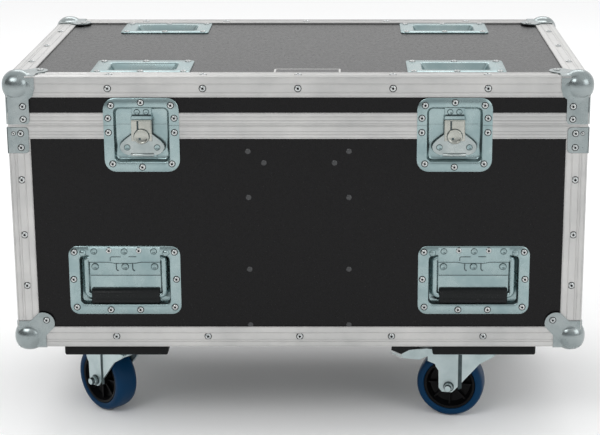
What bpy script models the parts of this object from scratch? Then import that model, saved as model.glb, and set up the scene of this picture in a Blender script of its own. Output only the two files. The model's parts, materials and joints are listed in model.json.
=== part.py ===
"""A wheeled flight case for lighting gear: a plywood trunk with a hinged lid.

Metres, +Z up, the floor at z = 0 under the wheels, the case centred on X and Y.
The front, with its latches and handles, faces -Y.
"""

import math

import bmesh
import bpy
from mathutils import Matrix, Vector

# Gap kept between two pieces that touch
CLEAR = 0.0003

# Case body
CASE_WIDTH = 0.800
CASE_DEPTH = 0.450
BASE_HEIGHT = 0.325
LID_HEIGHT = 0.068
WALL = 0.007
FLOOR = 0.009
TOP = 0.007

# Aluminium edging
SHEET = 0.0015
ANGLE_LEG = 0.030
LID_ANGLE_LEG = 0.0285
BASE_RIM_HEIGHT = 0.019
LID_RIM_HEIGHT = 0.0175
RIM_LIP_HEIGHT = 0.015
TONGUE_WIDTH = 0.0024
TONGUE_HEIGHT = 0.0042
TONGUE_INSET = 0.005
GROOVE_PLAY = 0.0013

# Ball corners
BALL_RADIUS = 0.021
BALL_INSET = 0.0135
CORNER_RELIEF = 0.012
CORNER_FOOT = 0.039
CORNER_FOOT_WAIST = 0.0172
CORNER_LOBE = 0.052
CORNER_LOBE_RADIUS = 0.0165
CORNER_LEG_WIDTH = 0.0305

# Castors
WHEEL_RADIUS = 0.050
TYRE_WIDTH = 0.036
TYRE_DEPTH = 0.0117
RIM_WIDTH = 0.034
WEB_WIDTH = 0.010
HUB_RADIUS = 0.012
AXLE_RADIUS = 0.005
CASTOR_HEIGHT = 0.125
CASTOR_TRAIL = 0.042
CASTOR_SIDE_INSET = 0.136
CASTOR_END_INSET = 0.088
PLATE_LENGTH = 0.100
PLATE_WIDTH = 0.085
PLATE_THICKNESS = 0.003
KINGPIN_RADIUS = 0.006
KINGPIN_NUT_RADIUS = 0.010
KINGPIN_NUT_HEIGHT = 0.006
SWIVEL_HEAD_RADIUS = 0.027
FORK_SHEET = 0.003
FORK_GROOVE_FROM_AXLE = 0.0165
FORK_GROOVE_WIDTH = 0.006
FORK_GROOVE_DEPTH = 0.0014
FORK_CROWN_CLEARANCE = 0.004
BOLT_HEAD_RADIUS = 0.0066
AXLE_END = 0.0095
BOLT_HEAD_HEIGHT = 0.005
PEDAL_PIN_RADIUS = 0.003
PEDAL_HUB_WALL = 0.002
PEDAL_REACH = 0.060
PEDAL_DEPTH = 0.0135
PEDAL_SHEET = 0.002
BOARD_WIDTH = 0.148
BOARD_SETBACK = 0.010
BOARD_THICKNESS = 0.0174
BOARD_EDGE = 0.003

# Latches, in the front of the lid and the base
LATCH_INSET = 0.184
LATCH_WIDTH = 0.104
LATCH_ABOVE = 0.039
LATCH_BELOW = 0.066
LATCH_CORNER = 0.016
LATCH_POCKET_WIDTH = 0.076
LATCH_POCKET_ABOVE = 0.025
LATCH_POCKET_BELOW = 0.052
LATCH_HINGE_BELOW = 0.043
LATCH_ROLL_RADIUS = 0.0027
LATCH_ROLL_LENGTH = 0.032
LATCH_PIN_RADIUS = 0.0012
LATCH_PLATE = 0.002
LATCH_SPAN = 0.062
TURN_BELOW = 0.0155
TURN_RADIUS = 0.0104
TURN_THICKNESS = 0.0022
TURN_SHAFT_RADIUS = 0.003
HOOK_WIDTH = 0.0285
HOOK_TRAVEL = 0.006
HOOK_ABOVE = 0.0075
KEEPER_WIDTH = 0.028
KEEPER_ABOVE = 0.007
KEEPER_HEIGHT = 0.016

# Sprung handles, in the front of the base
HANDLE_INSET = 0.154
HANDLE_RAISE = 0.0996
HANDLE_WIDTH = 0.157
HANDLE_HEIGHT = 0.101
HANDLE_CORNER = 0.013
HANDLE_POCKET_WIDTH = 0.127
HANDLE_POCKET_HEIGHT = 0.073
HANDLE_POCKET_DEPTH = 0.0116
BAIL_RADIUS = 0.004
BAIL_SPAN = 0.1094
BAIL_DROP = 0.055
BAIL_BEND = 0.006
BAIL_STUB = 0.008
PIVOT_BELOW = 0.0055
HOUSING_HEIGHT = 0.014
GRIP_LENGTH = 0.097
GRIP_HEIGHT = 0.0217
GRIP_THICKNESS = 0.0100

# Wheel dishes in the lid, for a case stacked on top
DISH_SIDE_INSET = 0.1795
DISH_END_INSET = 0.0735
DISH_WIDTH = 0.138
DISH_DEPTH = 0.084
DISH_CORNER = 0.006
DISH_MOUTH_WIDTH = 0.096
DISH_MOUTH_DEPTH = 0.048
DISH_TAPER = 0.010
DISH_POCKET = 0.016

# Long hinge at the back
HINGE_LENGTH = 0.500
HINGE_KNUCKLES = 9
HINGE_KNUCKLE_RADIUS = 0.0032
HINGE_PIN_RADIUS = 0.0015
HINGE_LEAF_HEIGHT = 0.022

# Places worked out from the sizes above
HALF_W = CASE_WIDTH / 2
HALF_D = CASE_DEPTH / 2
LATCH_X = HALF_W - LATCH_INSET
HANDLE_X = HALF_W - HANDLE_INSET
DISH_X = HALF_W - DISH_SIDE_INSET
DISH_Y = HALF_D - DISH_END_INSET
CASTOR_X = HALF_W - CASTOR_SIDE_INSET
CASTOR_Y = HALF_D - CASTOR_END_INSET
BOARD_LENGTH = CASE_DEPTH - 2 * BOARD_SETBACK
BOTTOM_Z = CASTOR_HEIGHT + CLEAR + BOARD_THICKNESS + CLEAR
PART_Z = BOTTOM_Z + BASE_HEIGHT
TOP_Z = PART_Z + LID_HEIGHT
SKIN = SHEET + CLEAR
WALL_BACK = SKIN + WALL
RIM_DEPTH = WALL_BACK + CLEAR + SHEET
BASE_TOP_Z = PART_Z - CLEAR / 2
LID_BOTTOM_Z = PART_Z + CLEAR / 2
GROOVE_DEPTH = TONGUE_HEIGHT + GROOVE_PLAY
LID_SHELF_Z = LID_BOTTOM_Z + GROOVE_DEPTH + SHEET
FLOOR_TOP_Z = BOTTOM_Z + SKIN + FLOOR
PANEL_TOP_Z = TOP_Z - SKIN
FRONT_Y = -HALF_D
AXLE_Z = WHEEL_RADIUS
FORK_INSIDE = TYRE_WIDTH / 2 + 0.0025
FORK_OUTSIDE = FORK_INSIDE + FORK_SHEET
CROWN_Z = 2 * WHEEL_RADIUS + FORK_CROWN_CLEARANCE
PLATE_Z = CASTOR_HEIGHT - PLATE_THICKNESS
HINGE_Y = HALF_D + CLEAR + HINGE_KNUCKLE_RADIUS

# The turn of each fork about its kingpin, as the case stands
CASTOR_TURNS = {
    "front_left": math.radians(136.5),
    "front_right": math.radians(168.0),
    "back_left": math.radians(150.0),
    "back_right": math.radians(20.0),
}
BRAKED_CASTOR = "front_right"

# Colour, roughness and metallic value of each finish
FINISHES = {
    "laminate": ((0.022, 0.022, 0.024), 0.55, 0.0),
    "aluminium": ((0.62, 0.62, 0.61), 0.38, 0.9),
    "zinc_plate": ((0.55, 0.62, 0.62), 0.34, 0.9),
    "nickel": ((0.60, 0.58, 0.53), 0.30, 0.9),
    "grip_rubber": ((0.012, 0.013, 0.014), 0.60, 0.0),
    "blue_rubber": ((0.010, 0.060, 0.160), 0.50, 0.0),
    "wheel_nylon": ((0.014, 0.014, 0.015), 0.45, 0.0),
}

for leftover in list(bpy.data.objects):
    bpy.data.objects.remove(leftover, do_unlink=True)

part = bpy.data.collections.new("flight_case")
cutters = bpy.data.collections.new("cutters")
cutters.hide_render = True
bpy.context.scene.collection.children.link(part)
bpy.context.scene.collection.children.link(cutters)


def finish(name):
    """The Principled material of one finish, made once."""
    if name in bpy.data.materials:
        return bpy.data.materials[name]
    colour, roughness, metallic = FINISHES[name]
    material = bpy.data.materials.new(name)
    material.use_nodes = True
    shader = material.node_tree.nodes["Principled BSDF"]
    shader.inputs["Base Color"].default_value = (*colour, 1.0)
    shader.inputs["Roughness"].default_value = roughness
    shader.inputs["Metallic"].default_value = metallic
    material.diffuse_color = (*colour, 1.0)
    return material


def placed(name, mesh, material=None, matrix=None):
    """An object of the part, or a cutter where it has no material."""
    obj = bpy.data.objects.new(name, mesh)
    if matrix is not None:
        obj.matrix_world = matrix
    if material is None:
        obj.hide_render = True
        obj.display_type = "WIRE"
        cutters.objects.link(obj)
    else:
        obj.data.materials.append(finish(material))
        part.objects.link(obj)
    return obj


def mesh_of(name, bm):
    bmesh.ops.recalc_face_normals(bm, faces=bm.faces)
    mesh = bpy.data.meshes.new(name)
    bm.to_mesh(mesh)
    bm.free()
    return mesh


def box(name, low, high, material=None, taper=0.0):
    """A box between two corners; taper draws its lower end in on all four sides."""
    low, high = Vector(low), Vector(high)
    size, middle = high - low, (high + low) / 2
    bm = bmesh.new()
    bmesh.ops.create_cube(bm, size=1.0)
    bmesh.ops.scale(bm, vec=size, verts=bm.verts)
    for vert in bm.verts:
        if taper and vert.co.z < 0:
            vert.co.x -= math.copysign(taper, vert.co.x)
            vert.co.y -= math.copysign(taper, vert.co.y)
    bmesh.ops.translate(bm, vec=middle, verts=bm.verts)
    return placed(name, mesh_of(name, bm), material)


def rod(name, start, end, radius, material=None, sides=16):
    """A cylinder from one point to another."""
    start, end = Vector(start), Vector(end)
    along = end - start
    bm = bmesh.new()
    bmesh.ops.create_cone(
        bm, cap_ends=True, segments=sides, radius1=radius, radius2=radius, depth=along.length
    )
    turn = Vector((0, 0, 1)).rotation_difference(along).to_matrix()
    bmesh.ops.rotate(bm, matrix=turn, verts=bm.verts)
    bmesh.ops.translate(bm, vec=(start + end) / 2, verts=bm.verts)
    return placed(name, mesh_of(name, bm), material)


def ball(name, centre, radius, sides=20, rings=12):
    bm = bmesh.new()
    bmesh.ops.create_uvsphere(bm, u_segments=sides, v_segments=rings, radius=radius)
    bmesh.ops.translate(bm, vec=centre, verts=bm.verts)
    return placed(name, mesh_of(name, bm))


def solidified(obj):
    """The object as a plain mesh in world space, its modifiers and curves applied."""
    bpy.context.view_layer.update()
    seen = obj.evaluated_get(bpy.context.evaluated_depsgraph_get())
    bm = bmesh.new()
    bm.from_mesh(seen.to_mesh())
    seen.to_mesh_clear()
    bmesh.ops.transform(bm, matrix=obj.matrix_world, verts=bm.verts)
    bmesh.ops.remove_doubles(bm, verts=bm.verts, dist=1e-6)
    mesh = mesh_of(obj.name, bm)
    for material in obj.data.materials:
        mesh.materials.append(material)
    return mesh


def replaced(obj, mesh):
    """Puts a mesh in place of an object, under the same name."""
    name, group = obj.name, obj.users_collection[0]
    bpy.data.objects.remove(obj, do_unlink=True)
    new = bpy.data.objects.new(name, mesh)
    if group == cutters:
        new.hide_render = True
        new.display_type = "WIRE"
    group.objects.link(new)
    return new


def boolean(obj, other, operation):
    modifier = obj.modifiers.new(operation.lower(), "BOOLEAN")
    modifier.operation = operation
    modifier.object = other
    modifier.solver = "EXACT"


def cut(obj, *tools):
    """Cuts each tool out of the object and leaves the object a plain mesh."""
    for tool in tools:
        boolean(obj, tool, "DIFFERENCE")
    return replaced(obj, solidified(obj))


def join(obj, *others):
    """Joins overlapping shapes to the object, and drops the shapes."""
    for other in others:
        boolean(obj, other, "UNION")
    joined = replaced(obj, solidified(obj))
    for other in others:
        bpy.data.objects.remove(other, do_unlink=True)
    return joined


def outline(name, points, thickness, matrix, material=None, corner=0.0):
    """A flat plate of an outline in the local XY plane, its thickness along local Z."""
    curve = bpy.data.curves.new(name, "CURVE")
    curve.dimensions = "2D"
    curve.fill_mode = "BOTH"
    curve.extrude = thickness / 2
    spline = curve.splines.new("POLY")
    points = rounded(points, corner) if corner else points
    spline.points.add(len(points) - 1)
    for point, (x, y) in zip(spline.points, points):
        point.co = (x, y, 0.0, 1.0)
    spline.use_cyclic_u = True
    obj = placed(name, curve, material, matrix)
    return replaced(obj, solidified(obj))


def rounded(points, radius, steps=4):
    """An outline with each corner turned into an arc of a radius."""
    result = []
    count = len(points)
    for i in range(count):
        here = Vector(points[i])
        back = (Vector(points[i - 1]) - here).normalized()
        ahead = (Vector(points[(i + 1) % count]) - here).normalized()
        half = back.angle(ahead) / 2
        reach = radius / math.tan(half)
        middle = here + (back + ahead).normalized() * (radius / math.sin(half))
        first = here + back * reach - middle
        last = here + ahead * reach - middle
        sweep = first.angle_signed(last)
        for step in range(steps + 1):
            arm = Matrix.Rotation(-sweep * step / steps, 2) @ first
            result.append(tuple(middle + arm))
    return result


def rectangle(width, height, centre=(0.0, 0.0)):
    x, y = centre
    corners = ((-1, -1), (1, -1), (1, 1), (-1, 1))
    return [(x + sx * width / 2, y + sz * height / 2) for sx, sz in corners]


def upright(x, y, z):
    """Local X stays, local Y points up and local Z points to the front."""
    return Matrix.Translation((x, y, z)) @ Matrix.Rotation(math.pi / 2, 4, "X")


def flat(x, y, z):
    return Matrix.Translation((x, y, z))


def turned(name, profile, material, matrix, steps=24):
    """A closed profile of (radius, height) points, turned about local Z."""
    bm = bmesh.new()
    verts = [bm.verts.new((radius, 0.0, height)) for radius, height in profile]
    for i, vert in enumerate(verts):
        bm.edges.new((vert, verts[(i + 1) % len(verts)]))
    mesh = bpy.data.meshes.new(name)
    bm.to_mesh(mesh)
    bm.free()
    obj = placed(name, mesh, material, matrix)
    screw = obj.modifiers.new("turn", "SCREW")
    screw.steps = steps
    screw.render_steps = steps
    screw.use_merge_vertices = True
    screw.merge_threshold = 1e-5
    new = replaced(obj, solidified(obj))
    new.data.shade_smooth()
    new.data.set_sharp_from_angle(angle=math.radians(35))
    return new


def signed(sides):
    """The name of a corner and its signs on X and Y."""
    signs = {"left": -1, "right": 1, "front": -1, "back": 1}
    depth, width = sides.split("_")
    return signs[width], signs[depth]


CORNERS = ("front_left", "front_right", "back_left", "back_right")


def corner_turn(sides):
    """The turn about Z that brings the back right corner to the one named."""
    turns = {"back_right": 0, "back_left": 1, "front_left": 2, "front_right": 3}
    return Matrix.Rotation(turns[sides] * math.pi / 2, 4, "Z")


def corner_reliefs(z_low, z_high, name):
    """One cube at each upright edge, where a ball corner sits."""
    cubes = []
    for sides in CORNERS:
        sx, sy = signed(sides)
        near = (sx * (HALF_W - CORNER_RELIEF), sy * (HALF_D - CORNER_RELIEF))
        far = (sx * (HALF_W + CORNER_RELIEF), sy * (HALF_D + CORNER_RELIEF))
        low = (min(near[0], far[0]), min(near[1], far[1]), z_low)
        high = (max(near[0], far[0]), max(near[1], far[1]), z_high)
        cubes.append(box(f"{name}_{sides}", low, high))
    return cubes


def hang(axis_name, place, *names):
    """An empty on a joint's axis, to carry the pieces that move about it."""
    axis = bpy.data.objects.new(axis_name, None)
    axis.empty_display_size = 0.02
    axis.location = place
    part.objects.link(axis)
    for name in names:
        piece = bpy.data.objects[name]
        piece.parent = axis
        piece.matrix_parent_inverse = Matrix.Translation(place).inverted()


def centred_box(name, width, depth, z_low, z_high, material=None):
    return box(name, (-width / 2, -depth / 2, z_low), (width / 2, depth / 2, z_high), material)


base_reliefs = corner_reliefs(BOTTOM_Z - CORNER_RELIEF, BOTTOM_Z + CORNER_RELIEF, "relief_low")
lid_reliefs = corner_reliefs(TOP_Z - CORNER_RELIEF, TOP_Z + CORNER_RELIEF, "relief_top")


def pocket_cutter(name, x, z_low, z_high, width, back_y):
    """Clears the front wall for a dish that is let into it."""
    grown = width / 2 + SHEET + CLEAR
    return box(name, (x - grown, FRONT_Y - 0.05, z_low), (x + grown, back_y, z_high))


latch_lip_y = FRONT_Y + WALL_BACK + CLEAR / 2
latch_low_z = PART_Z - LATCH_POCKET_BELOW - SHEET - CLEAR
latch_high_z = PART_Z + LATCH_POCKET_ABOVE + SHEET + CLEAR
latch_clearances = [
    pocket_cutter(f"latch_room_{i}", x, latch_low_z, latch_high_z, LATCH_POCKET_WIDTH, latch_lip_y)
    for i, x in enumerate((-LATCH_X, LATCH_X))
]
handle_z = BOTTOM_Z + HANDLE_RAISE
handle_reach = HANDLE_POCKET_HEIGHT / 2 + SHEET + CLEAR
handle_clearances = [
    pocket_cutter(
        f"handle_room_{i}", x, handle_z - handle_reach, handle_z + handle_reach,
        HANDLE_POCKET_WIDTH, FRONT_Y + 0.05,
    )
    for i, x in enumerate((-HANDLE_X, HANDLE_X))
]


def base_panels():
    inner_w = CASE_WIDTH - 2 * SKIN
    inner_d = CASE_DEPTH - 2 * SKIN
    wall_low = FLOOR_TOP_Z + CLEAR
    wall_high = BASE_TOP_Z - SHEET - CLEAR
    floor = centred_box(
        "base_floor_panel", inner_w, inner_d, BOTTOM_Z + SKIN, FLOOR_TOP_Z, "laminate"
    )
    cut(floor, *base_reliefs)
    for name, side, rooms in (
        ("front", -1, latch_clearances + handle_clearances),
        ("back", 1, []),
    ):
        ys = sorted((side * (HALF_D - SKIN), side * (HALF_D - WALL_BACK)))
        panel = box(
            f"base_{name}_panel", (-inner_w / 2, ys[0], wall_low),
            (inner_w / 2, ys[1], wall_high), "laminate",
        )
        cut(panel, *rooms, *base_reliefs)
    half_between = HALF_D - WALL_BACK - CLEAR
    for name, side in (("left", -1), ("right", 1)):
        xs = sorted((side * (HALF_W - SKIN), side * (HALF_W - WALL_BACK)))
        panel = box(
            f"base_{name}_panel", (xs[0], -half_between, wall_low),
            (xs[1], half_between, wall_high), "laminate",
        )
        cut(panel, *base_reliefs)


def base_edge_frame():
    """The bottom and upright angles: a thin shell with a window in each face."""
    top = BASE_TOP_Z - BASE_RIM_HEIGHT - CLEAR
    frame = centred_box("base_edge_frame", CASE_WIDTH, CASE_DEPTH, BOTTOM_Z, top, "aluminium")
    inside = centred_box(
        "edge_inside", CASE_WIDTH - 2 * SHEET, CASE_DEPTH - 2 * SHEET, BOTTOM_Z + SHEET, top + 0.1
    )
    open_w = CASE_WIDTH - 2 * ANGLE_LEG
    open_d = CASE_DEPTH - 2 * ANGLE_LEG
    window_x = centred_box("edge_window_x", CASE_WIDTH + 0.1, open_d, BOTTOM_Z + ANGLE_LEG, top + 0.1)
    window_y = centred_box("edge_window_y", open_w, CASE_DEPTH + 0.1, BOTTOM_Z + ANGLE_LEG, top + 0.1)
    window_z = centred_box("edge_window_z", open_w, open_d, BOTTOM_Z - 0.1, BOTTOM_Z + 0.1)
    cut(frame, inside, window_x, window_y, window_z, *base_reliefs)


def rim_channel(name, z_closed, z_plate, z_lip, z_shelf):
    """A channel round the case that holds the walls' edges: plate, shelf and inner lip.

    z_closed is its closed edge, at the parting line, z_shelf the shelf's other face,
    and z_plate and z_lip the ends of the outer plate and of the inner lip.
    """
    away = math.copysign(0.1, z_plate - z_closed)
    rim = centred_box(
        name, CASE_WIDTH, CASE_DEPTH, min(z_closed, z_plate), max(z_closed, z_plate), "aluminium"
    )
    inner = RIM_DEPTH * 2
    middle = centred_box(f"{name}_middle", CASE_WIDTH - inner, CASE_DEPTH - inner, 0.0, 1.0)
    slot_outer = SHEET * 2
    slot_inner = (WALL_BACK + CLEAR) * 2
    ends = sorted((z_shelf, z_plate + away))
    slot = centred_box(f"{name}_slot", CASE_WIDTH - slot_outer, CASE_DEPTH - slot_outer, *ends)
    core_ends = (ends[0] - 0.1, ends[1] + 0.1)
    core = centred_box(
        f"{name}_core", CASE_WIDTH - slot_inner, CASE_DEPTH - slot_inner, *core_ends
    )
    slot = cut(slot, core)
    lip_ends = sorted((z_lip, z_plate + away))
    above_lip = centred_box(
        f"{name}_above_lip", CASE_WIDTH - slot_outer, CASE_DEPTH - slot_outer, *lip_ends
    )
    return cut(rim, middle, slot, above_lip)


def ring_shape(name, inset, width, z_low, z_high):
    """A rectangular ring, its outer side inset from the case's faces."""
    ring = centred_box(name, CASE_WIDTH - 2 * inset, CASE_DEPTH - 2 * inset, z_low, z_high)
    hole_inset = inset + width
    hole = centred_box(
        f"{name}_hole", CASE_WIDTH - 2 * hole_inset, CASE_DEPTH - 2 * hole_inset,
        z_low - 0.1, z_high + 0.1,
    )
    return cut(ring, hole)


def base_rim_frame():
    """The tongue edging on the base."""
    rim = rim_channel(
        "base_rim_frame", BASE_TOP_Z, BASE_TOP_Z - BASE_RIM_HEIGHT,
        BASE_TOP_Z - RIM_LIP_HEIGHT, BASE_TOP_Z - SHEET,
    )
    tongue = ring_shape(
        "tongue", TONGUE_INSET - TONGUE_WIDTH / 2, TONGUE_WIDTH,
        BASE_TOP_Z - SHEET / 2, PART_Z + TONGUE_HEIGHT,
    )
    rim = join(rim, tongue)
    cut(rim, *latch_clearances)


def lid_rim_frame():
    """The groove edging on the lid, which drops over the tongue."""
    rim = rim_channel(
        "lid_rim_frame", LID_BOTTOM_Z, LID_BOTTOM_Z + LID_RIM_HEIGHT,
        LID_BOTTOM_Z + RIM_LIP_HEIGHT, LID_SHELF_Z,
    )
    groove_width = TONGUE_WIDTH + 2 * GROOVE_PLAY
    groove = ring_shape(
        "groove", TONGUE_INSET - groove_width / 2, groove_width,
        LID_BOTTOM_Z - 0.01, LID_BOTTOM_Z + GROOVE_DEPTH,
    )
    cut(rim, groove, *latch_clearances)


def lid_panels():
    under_top = PANEL_TOP_Z - TOP - CLEAR
    top_panel = centred_box(
        "lid_top_panel", CASE_WIDTH - 2 * SKIN, CASE_DEPTH - 2 * SKIN,
        PANEL_TOP_Z - TOP, PANEL_TOP_Z, "laminate",
    )
    rooms = []
    for sides in CORNERS:
        x, y = dish_centre(sides)
        half_w = DISH_MOUTH_WIDTH / 2 + SHEET + CLEAR
        half_d = DISH_MOUTH_DEPTH / 2 + SHEET + CLEAR
        rooms.append(
            box(
                f"dish_room_{sides}", (x - half_w, y - half_d, PANEL_TOP_Z - 0.05),
                (x + half_w, y + half_d, PANEL_TOP_Z + 0.05),
            )
        )
    cut(top_panel, *rooms, *lid_reliefs)
    walls = centred_box(
        "lid_wall_panels", CASE_WIDTH - 2 * SKIN, CASE_DEPTH - 2 * SKIN,
        LID_SHELF_Z + CLEAR, under_top, "laminate",
    )
    hollow = centred_box(
        "lid_hollow", CASE_WIDTH - 2 * WALL_BACK, CASE_DEPTH - 2 * WALL_BACK, PART_Z, TOP_Z
    )
    cut(walls, hollow, *latch_clearances, *lid_reliefs)


def lid_top_frame():
    low = TOP_Z - LID_ANGLE_LEG
    frame = centred_box("lid_top_frame", CASE_WIDTH, CASE_DEPTH, low, TOP_Z, "aluminium")
    inside = centred_box(
        "top_inside", CASE_WIDTH - 2 * SHEET, CASE_DEPTH - 2 * SHEET, low - 0.1, TOP_Z - SHEET
    )
    window = centred_box(
        "top_window", CASE_WIDTH - 2 * ANGLE_LEG, CASE_DEPTH - 2 * ANGLE_LEG, low, TOP_Z + 0.1
    )
    cut(frame, inside, window, *lid_reliefs)


def foot_outline():
    """A ball corner's foot on one face: u and v run from the case's corner inwards."""
    foot, waist = CORNER_FOOT, CORNER_FOOT_WAIST
    middle = CORNER_LOBE - CORNER_LOBE_RADIUS
    lobe = []
    for step in range(9):
        angle = math.radians(-20 + step * 130 / 8)
        lobe.append(
            (
                middle + CORNER_LOBE_RADIUS * math.cos(angle),
                middle + CORNER_LOBE_RADIUS * math.sin(angle),
            )
        )
    return [(0.001, 0.001), (foot, 0.001), (foot, waist), *lobe, (waist, foot), (0.001, foot)]


def leg_outline(length):
    """The long leg of a lid corner: u runs inwards, v runs down from the lid's top."""
    foot, width = CORNER_FOOT, CORNER_LEG_WIDTH
    return [
        (0.001, 0.001), (foot, 0.001), (foot, foot * 0.42), (foot * 0.93, foot * 0.68),
        (width, foot * 0.80), (width, length - 0.004), (width - 0.003, length), (0.001, length),
    ]


def ball_corner_mesh(name, downward, side_outline):
    """The mesh of a ball corner for the back right, with the case's corner at the origin.

    downward is -1 for a lid corner, whose upright faces run down, and 1 for a base corner.
    """
    centre = (-BALL_INSET, -BALL_INSET, downward * BALL_INSET)
    corner = ball(name, centre, BALL_RADIUS)
    case_end = 0.2
    low_z, high_z = sorted((-downward * CLEAR, downward * case_end))
    case = box(f"{name}_case", (-case_end, -case_end, low_z), (CLEAR, CLEAR, high_z))
    fill = CORNER_RELIEF - CLEAR
    low_z, high_z = sorted((downward * fill, -downward * CORNER_RELIEF))
    notch = box(f"{name}_notch", (-fill, -fill, low_z), (CORNER_RELIEF, CORNER_RELIEF, high_z))
    corner = cut(corner, cut(case, notch))
    half = SHEET / 2
    flat_foot = [(-u, -v) for u, v in foot_outline()]
    level = outline(
        f"{name}_level", flat_foot, SHEET, flat(0, 0, -downward * (CLEAR + half))
    )
    side = [(-u, downward * v) for u, v in side_outline]
    back = outline(f"{name}_back", side, SHEET, upright(0, CLEAR + half, 0))
    quarter = Matrix.Rotation(math.pi / 2, 4, "Z") @ upright(0, -CLEAR - half, 0)
    right = outline(f"{name}_right", side, SHEET, quarter)
    corner = join(corner, level, back, right)
    mesh = corner.data
    bpy.data.objects.remove(corner, do_unlink=True)
    mesh.materials.append(finish("zinc_plate"))
    mesh.shade_smooth()
    mesh.set_sharp_from_angle(angle=math.radians(35))
    return mesh


def ball_corners():
    leg_length = LID_HEIGHT - CLEAR - SHEET
    kinds = (
        ("base_ball_corner", 1, foot_outline(), BOTTOM_Z),
        ("lid_ball_corner", -1, leg_outline(leg_length), TOP_Z),
    )
    for kind, downward, side_outline, z in kinds:
        mesh = ball_corner_mesh(kind, downward, side_outline)
        for sides in CORNERS:
            sx, sy = signed(sides)
            place = Matrix.Translation((sx * HALF_W, sy * HALF_D, z)) @ corner_turn(sides)
            obj = bpy.data.objects.new(f"{kind}_{sides}", mesh)
            obj.matrix_world = place
            part.objects.link(obj)


def dish_centre(sides):
    sx, sy = signed(sides)
    return sx * DISH_X, sy * DISH_Y


def castor_dishes():
    """Pressed pans in the lid's top that take the wheels of a case stacked above."""
    for sides in CORNERS:
        x, y = dish_centre(sides)
        name = f"castor_dish_{sides}"
        flange_z = PANEL_TOP_Z + CLEAR
        plate = outline(
            name, rectangle(DISH_WIDTH, DISH_DEPTH), SHEET,
            flat(x, y, flange_z + SHEET / 2), "zinc_plate", corner=DISH_CORNER,
        )
        half_w, half_d = DISH_MOUTH_WIDTH / 2, DISH_MOUTH_DEPTH / 2
        floor_z = flange_z + SHEET - DISH_POCKET
        pan = box(
            f"{name}_pan", (x - half_w - SHEET, y - half_d - SHEET, floor_z - SHEET),
            (x + half_w + SHEET, y + half_d + SHEET, flange_z + SHEET / 2), taper=DISH_TAPER,
        )
        hollow = box(
            f"{name}_hollow", (x - half_w, y - half_d, floor_z),
            (x + half_w, y + half_d, flange_z + SHEET + CLEAR), taper=DISH_TAPER,
        )
        cut(join(plate, pan), hollow)


def latch_dish(side, x):
    """The two halves of a latch's recessed dish, split at the parting line."""
    flange_y = FRONT_Y - CLEAR - SHEET / 2
    back_y = FRONT_Y + WALL_BACK - CLEAR
    half = LATCH_POCKET_WIDTH / 2
    front_y = FRONT_Y - CLEAR - SHEET
    whole = rectangle(
        LATCH_WIDTH, LATCH_ABOVE + LATCH_BELOW, (0.0, (LATCH_ABOVE - LATCH_BELOW) / 2)
    )
    halves = (
        ("lower", BASE_TOP_Z, -1.0, PART_Z - LATCH_POCKET_BELOW, BASE_TOP_Z),
        ("upper", LID_BOTTOM_Z, 1.0, LID_BOTTOM_Z, PART_Z + LATCH_POCKET_ABOVE),
    )
    made = {}
    for half_name, edge_z, way, pocket_low, pocket_high in halves:
        name = f"latch_dish_{half_name}_{side}"
        plate = outline(
            name, whole, SHEET, upright(x, flange_y, PART_Z), "zinc_plate", corner=LATCH_CORNER
        )
        other = sorted((edge_z, edge_z - way * 0.2))
        away = box(f"{name}_away", (x - 0.2, -1.0, other[0]), (x + 0.2, 0.0, other[1]))
        closed_low = pocket_low - (SHEET if way < 0 else 0.0)
        closed_high = pocket_high + (SHEET if way > 0 else 0.0)
        pan = box(
            f"{name}_pan", (x - half - SHEET, flange_y, closed_low - (0.001 if way > 0 else 0.0)),
            (x + half + SHEET, back_y, closed_high + (0.001 if way < 0 else 0.0)),
        )
        open_low = pocket_low - (0.1 if way > 0 else 0.0)
        open_high = pocket_high + (0.1 if way < 0 else 0.0)
        hollow = box(
            f"{name}_hollow", (x - half, front_y - 0.01, open_low),
            (x + half, back_y - SHEET, open_high),
        )
        made[half_name] = cut(join(plate, pan), hollow, away)
    return made, back_y - SHEET


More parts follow.
